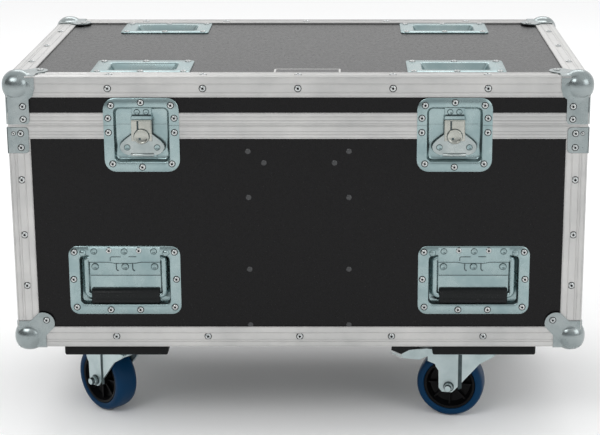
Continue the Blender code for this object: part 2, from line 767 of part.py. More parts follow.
def latch(side, x):
    made, floor_y = latch_dish(side, x)
    hinge_z = PART_Z - LATCH_HINGE_BELOW
    turn_z = PART_Z - TURN_BELOW
    hinge_y = floor_y - CLEAR - LATCH_ROLL_RADIUS
    half_roll = LATCH_ROLL_LENGTH / 2
    lug = 0.003
    lug_reach = LATCH_ROLL_RADIUS - 0.0006
    pin_end = half_roll + CLEAR + lug
    pin = rod(
        f"latch_pin_{side}", (x - pin_end, hinge_y, hinge_z), (x + pin_end, hinge_y, hinge_z),
        LATCH_PIN_RADIUS, sides=12,
    )
    lugs = []
    for way in (-1, 1):
        xs = sorted((x + way * (half_roll + CLEAR), x + way * pin_end))
        lugs.append(
            box(
                f"latch_lug_{side}_{way}",
                (xs[0], hinge_y - lug_reach, hinge_z - lug_reach),
                (xs[1], floor_y + SHEET / 2, hinge_z + lug_reach),
            )
        )
    join(made["lower"], *lugs, pin)

    keeper_z = PART_Z + KEEPER_ABOVE
    plate_front_y = hinge_y - LATCH_ROLL_RADIUS
    hook_back_y = plate_front_y - CLEAR
    hook_front_y = hook_back_y - SHEET
    turn_back_y = hook_front_y - CLEAR
    keeper = box(
        f"keeper_{side}", (x - KEEPER_WIDTH / 2, hook_back_y + CLEAR, keeper_z),
        (x + KEEPER_WIDTH / 2, floor_y + SHEET / 2, keeper_z + KEEPER_HEIGHT),
    )
    join(made["upper"], keeper)

    # The plate: a triangle with its roll round the dish's pin
    roll_z = LATCH_ROLL_RADIUS
    span = LATCH_SPAN / 2
    shoulder = turn_z - hinge_z
    shape = [
        (-half_roll, 0.0), (half_roll, 0.0), (half_roll, roll_z + 0.0006),
        (span, roll_z + 0.004), (span, roll_z + 0.011), (HOOK_WIDTH / 2 + 0.002, shoulder + 0.004),
        (-HOOK_WIDTH / 2 - 0.002, shoulder + 0.004), (-span, roll_z + 0.011),
        (-span, roll_z + 0.004), (-half_roll, roll_z + 0.0006),
    ]
    plate = outline(
        f"latch_plate_{side}", shape, LATCH_PLATE,
        upright(x, plate_front_y + LATCH_PLATE / 2, hinge_z), "zinc_plate",
    )
    roll = rod(
        f"latch_roll_{side}", (x - half_roll, hinge_y, hinge_z), (x + half_roll, hinge_y, hinge_z),
        LATCH_ROLL_RADIUS + 0.0001,
    )
    bore = rod(
        f"latch_bore_{side}", (x - 0.1, hinge_y, hinge_z), (x + 0.1, hinge_y, hinge_z),
        LATCH_PIN_RADIUS + CLEAR, sides=12,
    )
    turn_bore = rod(
        f"turn_bore_{side}", (x, FRONT_Y - 0.05, turn_z), (x, FRONT_Y + 0.05, turn_z),
        TURN_SHAFT_RADIUS + CLEAR,
    )
    cut(join(plate, roll), bore, turn_bore)

    # The hook: it slides down on the plate, round the thumb turn's shaft
    hook_low = turn_z - TURN_SHAFT_RADIUS - 0.004
    hook = box(
        f"latch_hook_{side}", (x - HOOK_WIDTH / 2, hook_front_y, hook_low),
        (x + HOOK_WIDTH / 2, hook_back_y, PART_Z + HOOK_ABOVE), "nickel",
    )
    reach = TURN_SHAFT_RADIUS + CLEAR
    slot = box(
        f"hook_slot_{side}", (x - reach, FRONT_Y - 0.05, turn_z - reach),
        (x + reach, FRONT_Y + 0.05, turn_z + reach + HOOK_TRAVEL),
    )
    cut(hook, slot)

    # The thumb turn: a disc in front of the hook, on a shaft in the plate's bore
    turn_front_y = turn_back_y - TURN_THICKNESS
    disc = rod(
        f"latch_turn_{side}", (x, turn_front_y, turn_z), (x, turn_back_y, turn_z),
        TURN_RADIUS, "nickel", sides=24,
    )
    shaft = rod(
        f"turn_shaft_{side}", (x, turn_front_y + 0.001, turn_z),
        (x, plate_front_y + LATCH_PLATE, turn_z), TURN_SHAFT_RADIUS,
    )
    join(disc, shaft)
    hang(f"latch_{side}_turn_axis", (x, turn_back_y, turn_z), f"latch_turn_{side}")
    hang(
        f"latch_{side}_tilt_axis", (x, hinge_y, hinge_z), f"latch_plate_{side}",
        f"latch_hook_{side}", f"latch_{side}_turn_axis",
    )


def handle(side, x):
    """A recessed dish with a sprung bail and a rubber grip."""
    z = handle_z
    flange_y = FRONT_Y + SHEET / 2
    floor_y = FRONT_Y + HANDLE_POCKET_DEPTH
    half_w, half_h = HANDLE_POCKET_WIDTH / 2, HANDLE_POCKET_HEIGHT / 2
    dish = outline(
        f"handle_dish_{side}", rectangle(HANDLE_WIDTH, HANDLE_HEIGHT), SHEET,
        upright(x, flange_y, z), "zinc_plate", corner=HANDLE_CORNER,
    )
    pan = box(
        f"handle_pan_{side}", (x - half_w - SHEET, flange_y, z - half_h - SHEET),
        (x + half_w + SHEET, floor_y + SHEET, z + half_h + SHEET),
    )
    hollow = box(
        f"handle_hollow_{side}", (x - half_w, FRONT_Y - 0.05, z - half_h),
        (x + half_w, floor_y, z + half_h),
    )
    dish = cut(join(dish, pan), hollow)

    pivot_y = (FRONT_Y + floor_y) / 2
    pivot_z = z + half_h - PIVOT_BELOW
    arm_x = BAIL_SPAN / 2
    housing_x = arm_x - BAIL_RADIUS - CLEAR
    housing = box(
        f"handle_housing_{side}",
        (x - housing_x, pivot_y - BAIL_RADIUS - SHEET / 2, z + half_h - HOUSING_HEIGHT),
        (x + housing_x, floor_y + SHEET / 2, z + half_h + SHEET / 2),
    )
    sockets = []
    for way in (-1, 1):
        sockets.append(
            rod(
                f"handle_socket_{side}_{way}", (x + way * (arm_x + 0.002), pivot_y, pivot_z),
                (x + way * (housing_x - BAIL_STUB - CLEAR), pivot_y, pivot_z),
                BAIL_RADIUS + CLEAR, sides=12,
            )
        )
    cut(join(dish, housing), *sockets)

    bail_route = [
        (housing_x - BAIL_STUB, 0.0), (arm_x, 0.0), (arm_x, -BAIL_DROP + BAIL_BEND),
    ]
    for step in range(1, 4):
        angle = step * math.pi / 6
        bail_route.append(
            (
                arm_x - BAIL_BEND * (1 - math.cos(angle)),
                -BAIL_DROP + BAIL_BEND * (1 - math.sin(angle)),
            )
        )
    whole_route = bail_route + [(-u, v) for u, v in reversed(bail_route)]
    curve = bpy.data.curves.new(f"handle_bail_{side}", "CURVE")
    curve.dimensions = "3D"
    curve.bevel_depth = BAIL_RADIUS
    curve.bevel_resolution = 2
    curve.use_fill_caps = True
    spline = curve.splines.new("POLY")
    spline.points.add(len(whole_route) - 1)
    for point, (u, v) in zip(spline.points, whole_route):
        point.co = (u, 0.0, v, 1.0)
    bail = placed(
        f"handle_bail_{side}", curve, "zinc_plate", Matrix.Translation((x, pivot_y, pivot_z))
    )
    replaced(bail, solidified(bail))

    # The grip is a flat sleeve moulded round the bail's lower rod
    grip_z = pivot_z - BAIL_DROP
    grip = outline(
        f"handle_grip_{side}", rectangle(GRIP_THICKNESS, GRIP_HEIGHT), GRIP_LENGTH,
        Matrix.Translation((x, pivot_y, grip_z)) @ Matrix.Rotation(math.pi / 2, 4, "Y")
        @ Matrix.Rotation(math.pi / 2, 4, "Z"),
        "grip_rubber", corner=GRIP_THICKNESS * 0.42,
    )
    bore = rod(
        f"grip_bore_{side}", (x - 0.1, pivot_y, grip_z), (x + 0.1, pivot_y, grip_z),
        BAIL_RADIUS + CLEAR, sides=24,
    )
    cut(grip, bore)
    hang(
        f"handle_{side}_axis", (x, pivot_y, pivot_z), f"handle_bail_{side}", f"handle_grip_{side}"
    )


def hinge():
    """A long hinge on the back: the base's leaf holds the pin, the lid's leaf turns on it."""
    pitch = HINGE_LENGTH / HINGE_KNUCKLES
    leaf_low_y = HALF_D + CLEAR
    leaf_high_y = leaf_low_y + SHEET
    reach = HINGE_KNUCKLE_RADIUS + 2 * CLEAR
    kinds = (("hinge_base_leaf", -1, 0), ("hinge_lid_leaf", 1, 1))
    for name, way, first in kinds:
        zs = sorted((PART_Z + way * reach, PART_Z + way * HINGE_LEAF_HEIGHT))
        leaf = box(
            name, (-HINGE_LENGTH / 2, leaf_low_y, zs[0]), (HINGE_LENGTH / 2, leaf_high_y, zs[1]),
            "zinc_plate",
        )
        knuckles = []
        for i in range(first, HINGE_KNUCKLES, 2):
            low_x = -HINGE_LENGTH / 2 + i * pitch + CLEAR
            high_x = low_x + pitch - 2 * CLEAR
            tab_zs = sorted((PART_Z, PART_Z + way * (reach + SHEET)))
            knuckles.append(
                box(
                    f"{name}_tab_{i}", (low_x + CLEAR, leaf_low_y + CLEAR, tab_zs[0]),
                    (high_x - CLEAR, leaf_high_y - CLEAR, tab_zs[1]),
                )
            )
            knuckles.append(
                rod(
                    f"{name}_knuckle_{i}", (low_x, HINGE_Y, PART_Z), (high_x, HINGE_Y, PART_Z),
                    HINGE_KNUCKLE_RADIUS, sides=12,
                )
            )
        leaf = join(leaf, *knuckles)
        if way > 0:
            bore = rod(
                "hinge_bore", (-HINGE_LENGTH, HINGE_Y, PART_Z), (HINGE_LENGTH, HINGE_Y, PART_Z),
                HINGE_PIN_RADIUS + CLEAR, sides=12,
            )
            cut(leaf, bore)
        else:
            pin = rod(
                "hinge_pin", (-HINGE_LENGTH / 2 + CLEAR * 2, HINGE_Y, PART_Z),
                (HINGE_LENGTH / 2 - CLEAR * 2, HINGE_Y, PART_Z), HINGE_PIN_RADIUS, sides=12,
            )
            join(leaf, pin)


def castor_boards():
    for side, way in (("left", -1), ("right", 1)):
        middle_x = way * CASTOR_X
        low_z = CASTOR_HEIGHT + CLEAR
        board = box(
            f"castor_board_{side}", (middle_x - BOARD_WIDTH / 2, -BOARD_LENGTH / 2, low_z),
            (middle_x + BOARD_WIDTH / 2, BOARD_LENGTH / 2, low_z + BOARD_THICKNESS), "laminate",
        )
        bevel = board.modifiers.new("edges", "BEVEL")
        bevel.width = BOARD_EDGE
        bevel.segments = 2


def fork_outline(braked):
    """A fork's leg, seen from its side: u runs along the trail, v is the height."""
    axle_u, axle_v = CASTOR_TRAIL, AXLE_Z
    head = SWIVEL_HEAD_RADIUS
    crown = CROWN_Z + FORK_SHEET
    tail = CASTOR_TRAIL + (0.032 if braked else 0.022)
    return [
        (-head, crown), (-head + 0.005, crown - 0.006), (-0.004, CROWN_Z - 0.014),
        (axle_u - 0.009, axle_v - 0.005), (axle_u - 0.005, axle_v - 0.009),
        (axle_u + 0.010, axle_v - 0.009), (axle_u + 0.015, axle_v - 0.003),
        (axle_u + 0.0155, axle_v + 0.024), (axle_u + 0.0195, CROWN_Z - 0.024),
        (axle_u + 0.021, CROWN_Z - 0.020), (tail, CROWN_Z - 0.016), (tail, crown),
    ]


def castor(sides):
    sx, sy = signed(sides)
    braked = sides == BRAKED_CASTOR
    at = Matrix.Translation((sx * CASTOR_X, sy * CASTOR_Y, 0.0))
    x, y = at.translation.x, at.translation.y
    turn = at @ Matrix.Rotation(CASTOR_TURNS[sides], 4, "Z")

    # Top plate with the kingpin and its nut
    plate = box(
        f"castor_plate_{sides}", (x - PLATE_LENGTH / 2, y - PLATE_WIDTH / 2, PLATE_Z),
        (x + PLATE_LENGTH / 2, y + PLATE_WIDTH / 2, CASTOR_HEIGHT), "zinc_plate",
    )
    nut_top = CROWN_Z - CLEAR
    nut_low = nut_top - KINGPIN_NUT_HEIGHT
    kingpin = rod(f"kingpin_{sides}", (x, y, nut_low + 0.001), (x, y, PLATE_Z + 0.001), KINGPIN_RADIUS)
    nut = rod(f"kingpin_nut_{sides}", (x, y, nut_low), (x, y, nut_top), KINGPIN_NUT_RADIUS, sides=6)
    join(plate, kingpin, nut)

    # Fork: two legs, the crown, the swivel head and the axle bolt
    name = f"castor_fork_{sides}"
    profile = fork_outline(braked)
    tail = profile[-1][0]
    legs = []
    for way in (-1, 1):
        middle = way * (FORK_INSIDE + FORK_SHEET / 2)
        legs.append(
            outline(f"{name}_leg_{way}", profile, FORK_SHEET, turn @ upright(0, middle, 0))
        )
    crown_tail = CASTOR_TRAIL + 0.018
    crown = box(
        name, (-SWIVEL_HEAD_RADIUS + 0.0005, -FORK_OUTSIDE + 0.0005, CROWN_Z),
        (crown_tail, FORK_OUTSIDE - 0.0005, CROWN_Z + FORK_SHEET - 0.0002), "zinc_plate",
    )
    crown.matrix_world = turn
    crown = replaced(crown, solidified(crown))
    head = rod(
        f"{name}_head", (x, y, CROWN_Z + 0.001), (x, y, PLATE_Z - CLEAR), SWIVEL_HEAD_RADIUS, sides=24
    )
    axle_half = FORK_OUTSIDE + AXLE_END
    centre = turn @ Vector((CASTOR_TRAIL, 0, AXLE_Z))
    across = (turn.to_3x3() @ Vector((0, 1, 0))).normalized()
    axle = rod(f"{name}_axle", centre - across * axle_half, centre + across * axle_half, AXLE_RADIUS)
    ends = []
    for way in (-1, 1):
        ends.append(
            rod(
                f"{name}_bolt_end_{way}", centre + across * way * (FORK_OUTSIDE - 0.001),
                centre + across * way * (FORK_OUTSIDE + BOLT_HEAD_HEIGHT), BOLT_HEAD_RADIUS, sides=6,
            )
        )
    shapes = [*legs, head, axle, *ends]
    pivot_local = Vector((tail - 0.006, 0, CROWN_Z - 0.003))
    pivot = turn @ pivot_local
    if braked:
        shapes.append(
            rod(
                f"{name}_pedal_pin", pivot - across * (FORK_OUTSIDE - 0.001),
                pivot + across * (FORK_OUTSIDE - 0.001), PEDAL_PIN_RADIUS, sides=12,
            )
        )
    fork = join(crown, *shapes)
    king_bore = rod(f"{name}_bore", (x, y, 0.0), (x, y, 0.3), KINGPIN_RADIUS + CLEAR)
    grooves = []
    groove_u = CASTOR_TRAIL - FORK_GROOVE_FROM_AXLE
    for way in (-1, 1):
        ys = sorted((way * (FORK_OUTSIDE - FORK_GROOVE_DEPTH), way * (FORK_OUTSIDE + 0.01)))
        groove = box(
            f"{name}_groove_{way}", (groove_u - FORK_GROOVE_WIDTH / 2, ys[0], AXLE_Z - 0.03),
            (groove_u + FORK_GROOVE_WIDTH / 2, ys[1], CROWN_Z - 0.002),
        )
        groove.matrix_world = turn @ groove.matrix_world
        grooves.append(groove)
    cut(fork, king_bore, *grooves)
    if braked:
        brake_pedal(sides, turn, pivot_local, across)

    # Wheel: a nylon core and a rubber tyre, turned about the axle
    spin = turn @ Matrix.Translation((CASTOR_TRAIL, 0, AXLE_Z)) @ Matrix.Rotation(math.pi / 2, 4, "X")
    rim_outer = WHEEL_RADIUS - TYRE_DEPTH
    rim_inner = rim_outer - 0.004
    bore = AXLE_RADIUS + CLEAR
    hub = FORK_INSIDE - 2 * CLEAR
    half_rim, half_web = RIM_WIDTH / 2, WEB_WIDTH / 2
    half_core = [
        (bore, hub), (HUB_RADIUS, hub), (HUB_RADIUS + 0.002, half_web),
        (rim_inner - 0.004, half_web), (rim_inner, half_rim), (rim_outer, half_rim),
    ]
    core = half_core + [(radius, -height) for radius, height in reversed(half_core)]
    turned(f"castor_wheel_core_{sides}", core, "wheel_nylon", spin)
    half_tyre = TYRE_WIDTH / 2
    inside = rim_outer + CLEAR
    half_shape = [
        (inside, half_tyre), (inside + 0.004, half_tyre), (WHEEL_RADIUS - 0.003, half_tyre - 0.002),
        (WHEEL_RADIUS - 0.0006, half_tyre - 0.006), (WHEEL_RADIUS, half_tyre - 0.011),
    ]
    tyre = half_shape + [(radius, -height) for radius, height in reversed(half_shape)]
    turned(f"castor_tyre_{sides}", tyre, "blue_rubber", spin)

    core_name, tyre_name = f"castor_wheel_core_{sides}", f"castor_tyre_{sides}"
    hang(f"castor_{sides}_axle", centre, core_name, tyre_name)
    carried = [name, f"castor_{sides}_axle"]
    if braked:
        hang(f"castor_{sides}_pedal_axis", pivot, f"castor_brake_pedal_{sides}")
        carried.append(f"castor_{sides}_pedal_axis")
    hang(f"castor_{sides}_kingpin", Vector((x, y, PLATE_Z)), *carried)


def brake_pedal(sides, turn, pivot, across):
    """The foot pedal of the total lock: a channel, open below, on a pin behind the crown."""
    name = f"castor_brake_pedal_{sides}"
    half = FORK_INSIDE - 2 * CLEAR
    hub = PEDAL_PIN_RADIUS + CLEAR + PEDAL_HUB_WALL
    u, v = pivot.x, pivot.z
    reach, low_v = PEDAL_REACH, v - PEDAL_DEPTH
    shape = [
        (u - hub * 0.4, v + hub), (u - hub, v), (u, v - hub),
        (u + reach * 0.17, v - PEDAL_DEPTH * 0.63), (u + reach * 0.30, low_v),
        (u + reach * 0.72, low_v), (u + reach, v - PEDAL_DEPTH * 0.6),
        (u + reach, v - PEDAL_DEPTH * 0.35), (u + reach * 0.80, v - PEDAL_DEPTH * 0.15),
        (u + reach * 0.45, v + hub * 0.35), (u + hub * 0.75, v + hub),
    ]
    pedal = outline(name, shape, 2 * half, turn @ upright(0, 0, 0), "zinc_plate")
    inside = [
        (u + reach * 0.30, low_v - 0.01), (u + reach * 0.30, v - hub * 0.4),
        (u + reach * 0.70, v - PEDAL_DEPTH * 0.30), (u + reach - PEDAL_SHEET * 2, v - PEDAL_DEPTH * 0.5),
        (u + reach - PEDAL_SHEET * 2, low_v - 0.01),
    ]
    hollow = outline(f"{name}_hollow", inside, 2 * (half - PEDAL_SHEET), turn @ upright(0, 0, 0))
    middle = turn @ pivot
    bore = rod(
        f"{name}_bore", middle - across * 0.1, middle + across * 0.1, PEDAL_PIN_RADIUS + CLEAR, sides=12
    )
    cut(pedal, bore, hollow)


base_panels()
base_edge_frame()
base_rim_frame()
lid_panels()
lid_top_frame()
lid_rim_frame()
ball_corners()
castor_dishes()
for side_name, side_x in (("left", -1), ("right", 1)):
    latch(side_name, side_x * LATCH_X)
    handle(side_name, side_x * HANDLE_X)
hinge()
castor_boards()
for corner_name in CORNERS:
    castor(corner_name)
LID_PIECES = [
    obj.name for obj in part.objects
    if obj.name.startswith(("lid_", "castor_dish_", "latch_dish_upper_", "hinge_lid_"))
]
hang("lid_hinge_axis", (0.0, HINGE_Y, PART_Z), *LID_PIECES)
bpy.context.view_layer.update()
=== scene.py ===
# %% [markdown]
# A wheeled flight case for stage lamps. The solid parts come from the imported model, and
# this notebook dresses them: it gives each one a real finish and adds the small things,
# such as rivets, pressed dishes, ribs and bolt heads, that make a case look like a case.

# %% Load the solid parts
import json
import math

import bmesh
import bpy
from mathutils import Matrix, Vector

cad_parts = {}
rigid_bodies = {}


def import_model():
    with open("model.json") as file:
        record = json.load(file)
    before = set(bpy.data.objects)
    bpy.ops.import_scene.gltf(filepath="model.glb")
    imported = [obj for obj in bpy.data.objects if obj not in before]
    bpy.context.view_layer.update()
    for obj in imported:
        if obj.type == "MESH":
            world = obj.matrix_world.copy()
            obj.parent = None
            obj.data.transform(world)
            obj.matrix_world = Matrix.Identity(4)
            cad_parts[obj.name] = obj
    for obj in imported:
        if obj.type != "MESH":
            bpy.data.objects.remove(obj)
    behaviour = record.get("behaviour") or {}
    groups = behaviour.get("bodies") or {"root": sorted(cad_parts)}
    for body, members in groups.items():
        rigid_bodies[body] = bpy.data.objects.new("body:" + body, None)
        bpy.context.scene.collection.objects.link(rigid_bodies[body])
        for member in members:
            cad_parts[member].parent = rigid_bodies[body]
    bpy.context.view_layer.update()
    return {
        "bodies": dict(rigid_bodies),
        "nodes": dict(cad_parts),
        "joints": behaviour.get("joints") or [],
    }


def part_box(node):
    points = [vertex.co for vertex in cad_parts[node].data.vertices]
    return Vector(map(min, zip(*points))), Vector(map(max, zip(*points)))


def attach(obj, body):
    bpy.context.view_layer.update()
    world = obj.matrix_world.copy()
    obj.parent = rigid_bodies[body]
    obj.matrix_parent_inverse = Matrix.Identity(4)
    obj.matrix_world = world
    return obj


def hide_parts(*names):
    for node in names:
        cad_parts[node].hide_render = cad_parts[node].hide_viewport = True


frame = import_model()

# %% [markdown]
# Most places below are read from the solids, so that a rivet stays on its plate if the
# case changes size. The joints give the axles and the pivots in the same way. Small shapes
# are drawn in millimetres, and `mm` turns their numbers into metres.

# %% Places on the case
EDGE_LOW, EDGE_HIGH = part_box("base_edge_frame")
LID_LOW, LID_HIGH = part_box("lid_top_frame")
HALF_W, HALF_D = EDGE_HIGH.x, EDGE_HIGH.y
FRONT_Y = -HALF_D
BOTTOM_Z = EDGE_LOW.z
TOP_Z = LID_HIGH.z
RIM_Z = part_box("base_rim_frame")[0].z
PART_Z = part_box("lid_rim_frame")[0].z
SIDES = ("left", "right")
CORNERS = (
    ("front_left", -1, -1), ("front_right", 1, -1), ("back_left", -1, 1), ("back_right", 1, 1)
)
BOTH_WAYS = (-1, 1)
LEFTWARD, RIGHTWARD = Vector((-1, 0, 0)), Vector((1, 0, 0))
FORWARD, BACKWARD = Vector((0, -1, 0)), Vector((0, 1, 0))
UPWARD = Vector((0, 0, 1))
joints = {joint["name"]: joint for joint in frame["joints"]}


def mm(*rows):
    """Rows of numbers in millimetres, as tuples in metres."""
    return [tuple(value / 1000 for value in row) for row in rows]


def middle(part):
    """The middle of a solid part's box."""
    low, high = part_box(part)
    return (low + high) / 2


def joint_place(name):
    return Vector(joints[name]["pos_m"])


print(f"parting line at {PART_Z:.4f} m, lid top at {TOP_Z:.4f} m")

# %% [markdown]
# A finish is more than one colour. Real laminate has a fine pebble, plated steel has cloudy
# patches, and everything that travels is a little scratched. Each of these effects is a
# shader node group, made once here and used in several materials with its own values.

# %% Ways to make nodes and node groups
FLOAT, COLOUR = "NodeSocketFloat", "NodeSocketColor"
BLACK, WHITE = (0, 0, 0, 1), (1, 1, 1, 1)


def node(tree, kind, links, **values):
    """A node with some of its settings, and its inputs set or linked by name."""
    made = tree.nodes.new(kind)
    for key, value in values.items():
        setattr(made, key, value)
    for key, value in links.items():
        if isinstance(value, bpy.types.NodeSocket):
            tree.links.new(value, made.inputs[key])
        else:
            made.inputs[key].default_value = value
    return made


def calc(tree, operation, first, second):
    return node(tree, "ShaderNodeMath", {0: first, 1: second}, operation=operation).outputs[0]


def vector_calc(tree, operation, first, second, result):
    made = node(tree, "ShaderNodeVectorMath", {0: first, 1: second}, operation=operation)
    return made.outputs[result]


def mix(tree, amount, first, second):
    """Two colours mixed by an amount from 0 to 1."""
    links = {0: amount, 6: first, 7: second}
    return node(tree, "ShaderNodeMix", links, data_type="RGBA").outputs[2]


def noise(tree, where, scale, detail, roughness=0.5):
    links = {"Vector": where, "Scale": scale, "Detail": detail, "Roughness": roughness}
    return node(tree, "ShaderNodeTexNoise", links).outputs["Fac"]


def stretch(tree, value, low, high, to_low=0.0, to_high=1.0):
    """A value moved from one range to another, and held at the ends."""
    links = {"Value": value, "From Min": low, "From Max": high, "To Min": to_low, "To Max": to_high}
    return node(tree, "ShaderNodeMapRange", links).outputs["Result"]


def give(tree, taker, sockets):
    """Links sockets to a group's results, or to a shader's inputs, by name."""
    for name, socket in sockets.items():
        tree.links.new(socket, taker[name])


def shader_group(name, inputs, outputs):
    """A new node group: its tree, its inputs, its results and the object's coordinates."""
    tree = bpy.data.node_groups.new(name, "ShaderNodeTree")
    for label, kind, value in inputs:
        socket = tree.interface.new_socket(name=label, in_out="INPUT", socket_type=kind)
        socket.default_value = value
    for label, kind in outputs:
        tree.interface.new_socket(name=label, in_out="OUTPUT", socket_type=kind)
    given = tree.nodes.new("NodeGroupInput").outputs
    results = tree.nodes.new("NodeGroupOutput").inputs
    return tree, given, results, tree.nodes.new("ShaderNodeTexCoord").outputs["Object"]


# %% [markdown]
# Zinc plate isn't one grey. It has soft clouds, where the plating is thicker or duller. An
# image could show them, but noise needs no file and fits any shape. It is stretched until
# the patches are clear, and it steers the colour and the gloss together, as on real plate.

# %% Cloudy patches, as on zinc plate
clouds, given, results, where = shader_group(
    "cloudy_patches",
    [("First", COLOUR, WHITE), ("Second", COLOUR, BLACK), ("Scale", FLOAT, 20.0),
     ("Roughness Low", FLOAT, 0.3), ("Roughness High", FLOAT, 0.4)],
    [("Color", COLOUR), ("Roughness", FLOAT)],
)
cloud = noise(clouds, where, given["Scale"], detail=5.0, roughness=0.6)
give(clouds, results, {
    "Color": mix(clouds, stretch(clouds, cloud, 0.35, 0.65), given["First"], given["Second"]),
    "Roughness": stretch(
        clouds, cloud, 0.3, 0.7, given["Roughness Low"], given["Roughness High"]
    ),
})
print("group:", clouds.name)

# %% [markdown]
# Everything that travels in a van is scratched. Scratches could be drawn one by one, but
# noise that is squeezed across one direction already looks like them. A second, softer
# noise keeps them to patches, because a case rubs in some places only.

# %% Fine scratches and rubbed places
scratches, given, results, where = shader_group(
    "fine_scratches",
    [("Base", COLOUR, BLACK), ("Worn", COLOUR, WHITE), ("Amount", FLOAT, 0.3),
     ("Scale", FLOAT, 30.0)],
    [("Color", COLOUR), ("Mask", FLOAT), ("Height", FLOAT)],
)
turned = node(
    scratches, "ShaderNodeMapping",
    {"Vector": where, "Rotation": (0.4, 0.7, 0.3), "Scale": (1.0, 14.0, 3.0)},
)
streaks = noise(scratches, turned.outputs["Vector"], given["Scale"], detail=8.0, roughness=0.7)
patches = noise(scratches, where, 9.0, detail=3.0)
marks = calc(
    scratches, "MULTIPLY", stretch(scratches, streaks, 0.62, 0.74),
    stretch(scratches, patches, 0.45, 0.75),
)
mask = calc(scratches, "MULTIPLY", marks, given["Amount"])
give(scratches, results, {
    "Color": mix(scratches, mask, given["Base"], given["Worn"]), "Mask": mask, "Height": marks,
})
print("group:", scratches.name)

# %% [markdown]
# The laminate has a fine pebbled skin, and so have the moulded grips and the tyres. It is
# far too fine for real geometry. Small Voronoi cells give the pebbles, noise makes them
# uneven, and each material turns that height into relief with a Bump node of its own.

# %% The pebble of laminate and moulded plastic
pebble, given, results, where = shader_group(
    "fine_pebble", [("Scale", FLOAT, 900.0), ("Soft", FLOAT, 0.5)],
    [("Height", FLOAT), ("Shade", FLOAT)],
)
cells = node(pebble, "ShaderNodeTexVoronoi", {"Vector": where, "Scale": given["Scale"]})
grain = noise(pebble, where, 240.0, detail=4.0)
lumps = calc(pebble, "MULTIPLY", cells.outputs["Distance"], given["Soft"])
give(pebble, results, {"Height": calc(pebble, "ADD", lumps, grain), "Shade": grain})
print("group:", pebble.name)

# %% [markdown]
# Two recipes cover nearly every surface. A metal takes its cloudy colour and its gloss from
# the patches and a few scratches on top. A dark laminate, rubber or plastic takes its relief
# from the pebble. The numbers that don't vary sit on the shader itself.

# %% Metal and plastic recipes
METAL_SCRATCH_SCALE = 40.0
PLASTIC_SCRATCH_SCALE = 26.0
GLOSS_SPREAD = 0.06


def bare_material(name, roughness, metallic, specular=0.5):
    material = bpy.data.materials.new(name)
    material.use_nodes = True
    shader = material.node_tree.nodes["Principled BSDF"].inputs
    shader["Roughness"].default_value = roughness
    shader["Metallic"].default_value = metallic
    shader["Specular IOR Level"].default_value = specular
    return material, material.node_tree, shader


def use_group(tree, group, links):
    return node(tree, "ShaderNodeGroup", links, node_tree=group).outputs


def relief(tree, height, strength, distance):
    links = {"Height": height, "Strength": strength, "Distance": distance}
    return node(tree, "ShaderNodeBump", links).outputs["Normal"]


def rgba(colour):
    return (*colour, 1.0)


def metal(name, first, second, rough, scale, worn=None, amount=0.3, metallic=0.95):
    """Plated or bare metal: cloudy colour, uneven gloss and fine scratches."""
    material, tree, shader = bare_material(name, rough[0], metallic)
    cloudy = use_group(tree, clouds, {
        "First": rgba(first), "Second": rgba(second), "Scale": scale,
        "Roughness Low": rough[0], "Roughness High": rough[1],
    })
    scratched = use_group(tree, scratches, {
        "Base": cloudy["Color"], "Worn": rgba(worn or first), "Amount": amount,
        "Scale": METAL_SCRATCH_SCALE,
    })
    give(tree, shader, {
        "Base Color": scratched["Color"], "Roughness": cloudy["Roughness"],
        "Normal": relief(tree, scratched["Height"], 0.15, 0.0002),
    })
    return material


def plastic(name, colour, worn, rough, pebble_scale, depth, specular=0.5, amount=0.3):
    """Laminate, rubber or moulded plastic: a pebbled skin with pale rub marks."""
    material, tree, shader = bare_material(name, rough, 0.0, specular)
    scratched = use_group(tree, scratches, {
        "Base": rgba(colour), "Worn": rgba(worn), "Amount": amount,
        "Scale": PLASTIC_SCRATCH_SCALE,
    })
    skin = use_group(tree, pebble, {"Scale": pebble_scale, "Soft": 0.6})
    gloss = stretch(tree, skin["Shade"], 0.3, 0.7, rough - GLOSS_SPREAD, rough + GLOSS_SPREAD)
    give(tree, shader, {
        "Base Color": scratched["Color"], "Roughness": gloss,
        "Normal": relief(tree, skin["Height"], 0.35, depth),
    })
    return material


# %% [markdown]
# Each finish is one call: the colours of the clean and the worn surface, how rough it is
# and how large its pattern is. The zinc comes in three greys, because the corners, the
# latch plates and the dishes of a real case are plated in different baths.

# %% The finishes of this case
aluminium = metal(
    "mill_aluminium", (0.54, 0.535, 0.525), (0.455, 0.455, 0.45), (0.30, 0.42), 12.0,
    (0.68, 0.68, 0.66), amount=0.35, metallic=0.9,
)
zinc = metal(
    "pale_zinc_plate", (0.32, 0.405, 0.41), (0.25, 0.34, 0.35), (0.22, 0.34), 26.0,
    (0.52, 0.59, 0.59),
)
grey_zinc = metal(
    "grey_zinc_plate", (0.31, 0.345, 0.347), (0.245, 0.285, 0.29), (0.20, 0.32), 30.0,
    (0.50, 0.54, 0.54),
)
plate_zinc = metal(
    "rubbed_zinc_plate", (0.40, 0.44, 0.435), (0.32, 0.365, 0.365), (0.24, 0.34), 36.0,
    (0.58, 0.62, 0.61),
)
warm_nickel = metal(
    "warm_nickel_plate", (0.45, 0.455, 0.415), (0.365, 0.375, 0.345), (0.20, 0.30), 40.0,
    (0.62, 0.62, 0.58), amount=0.25,
)
rivet_steel = metal(
    "bright_rivet", (0.54, 0.555, 0.55), (0.44, 0.465, 0.47), (0.20, 0.30), 80.0,
    amount=0.2, metallic=1.0,
)
galvanised = metal(
    "galvanised_fork", (0.55, 0.635, 0.64), (0.46, 0.55, 0.56), (0.34, 0.46), 34.0,
    (0.66, 0.71, 0.71), metallic=0.85,
)
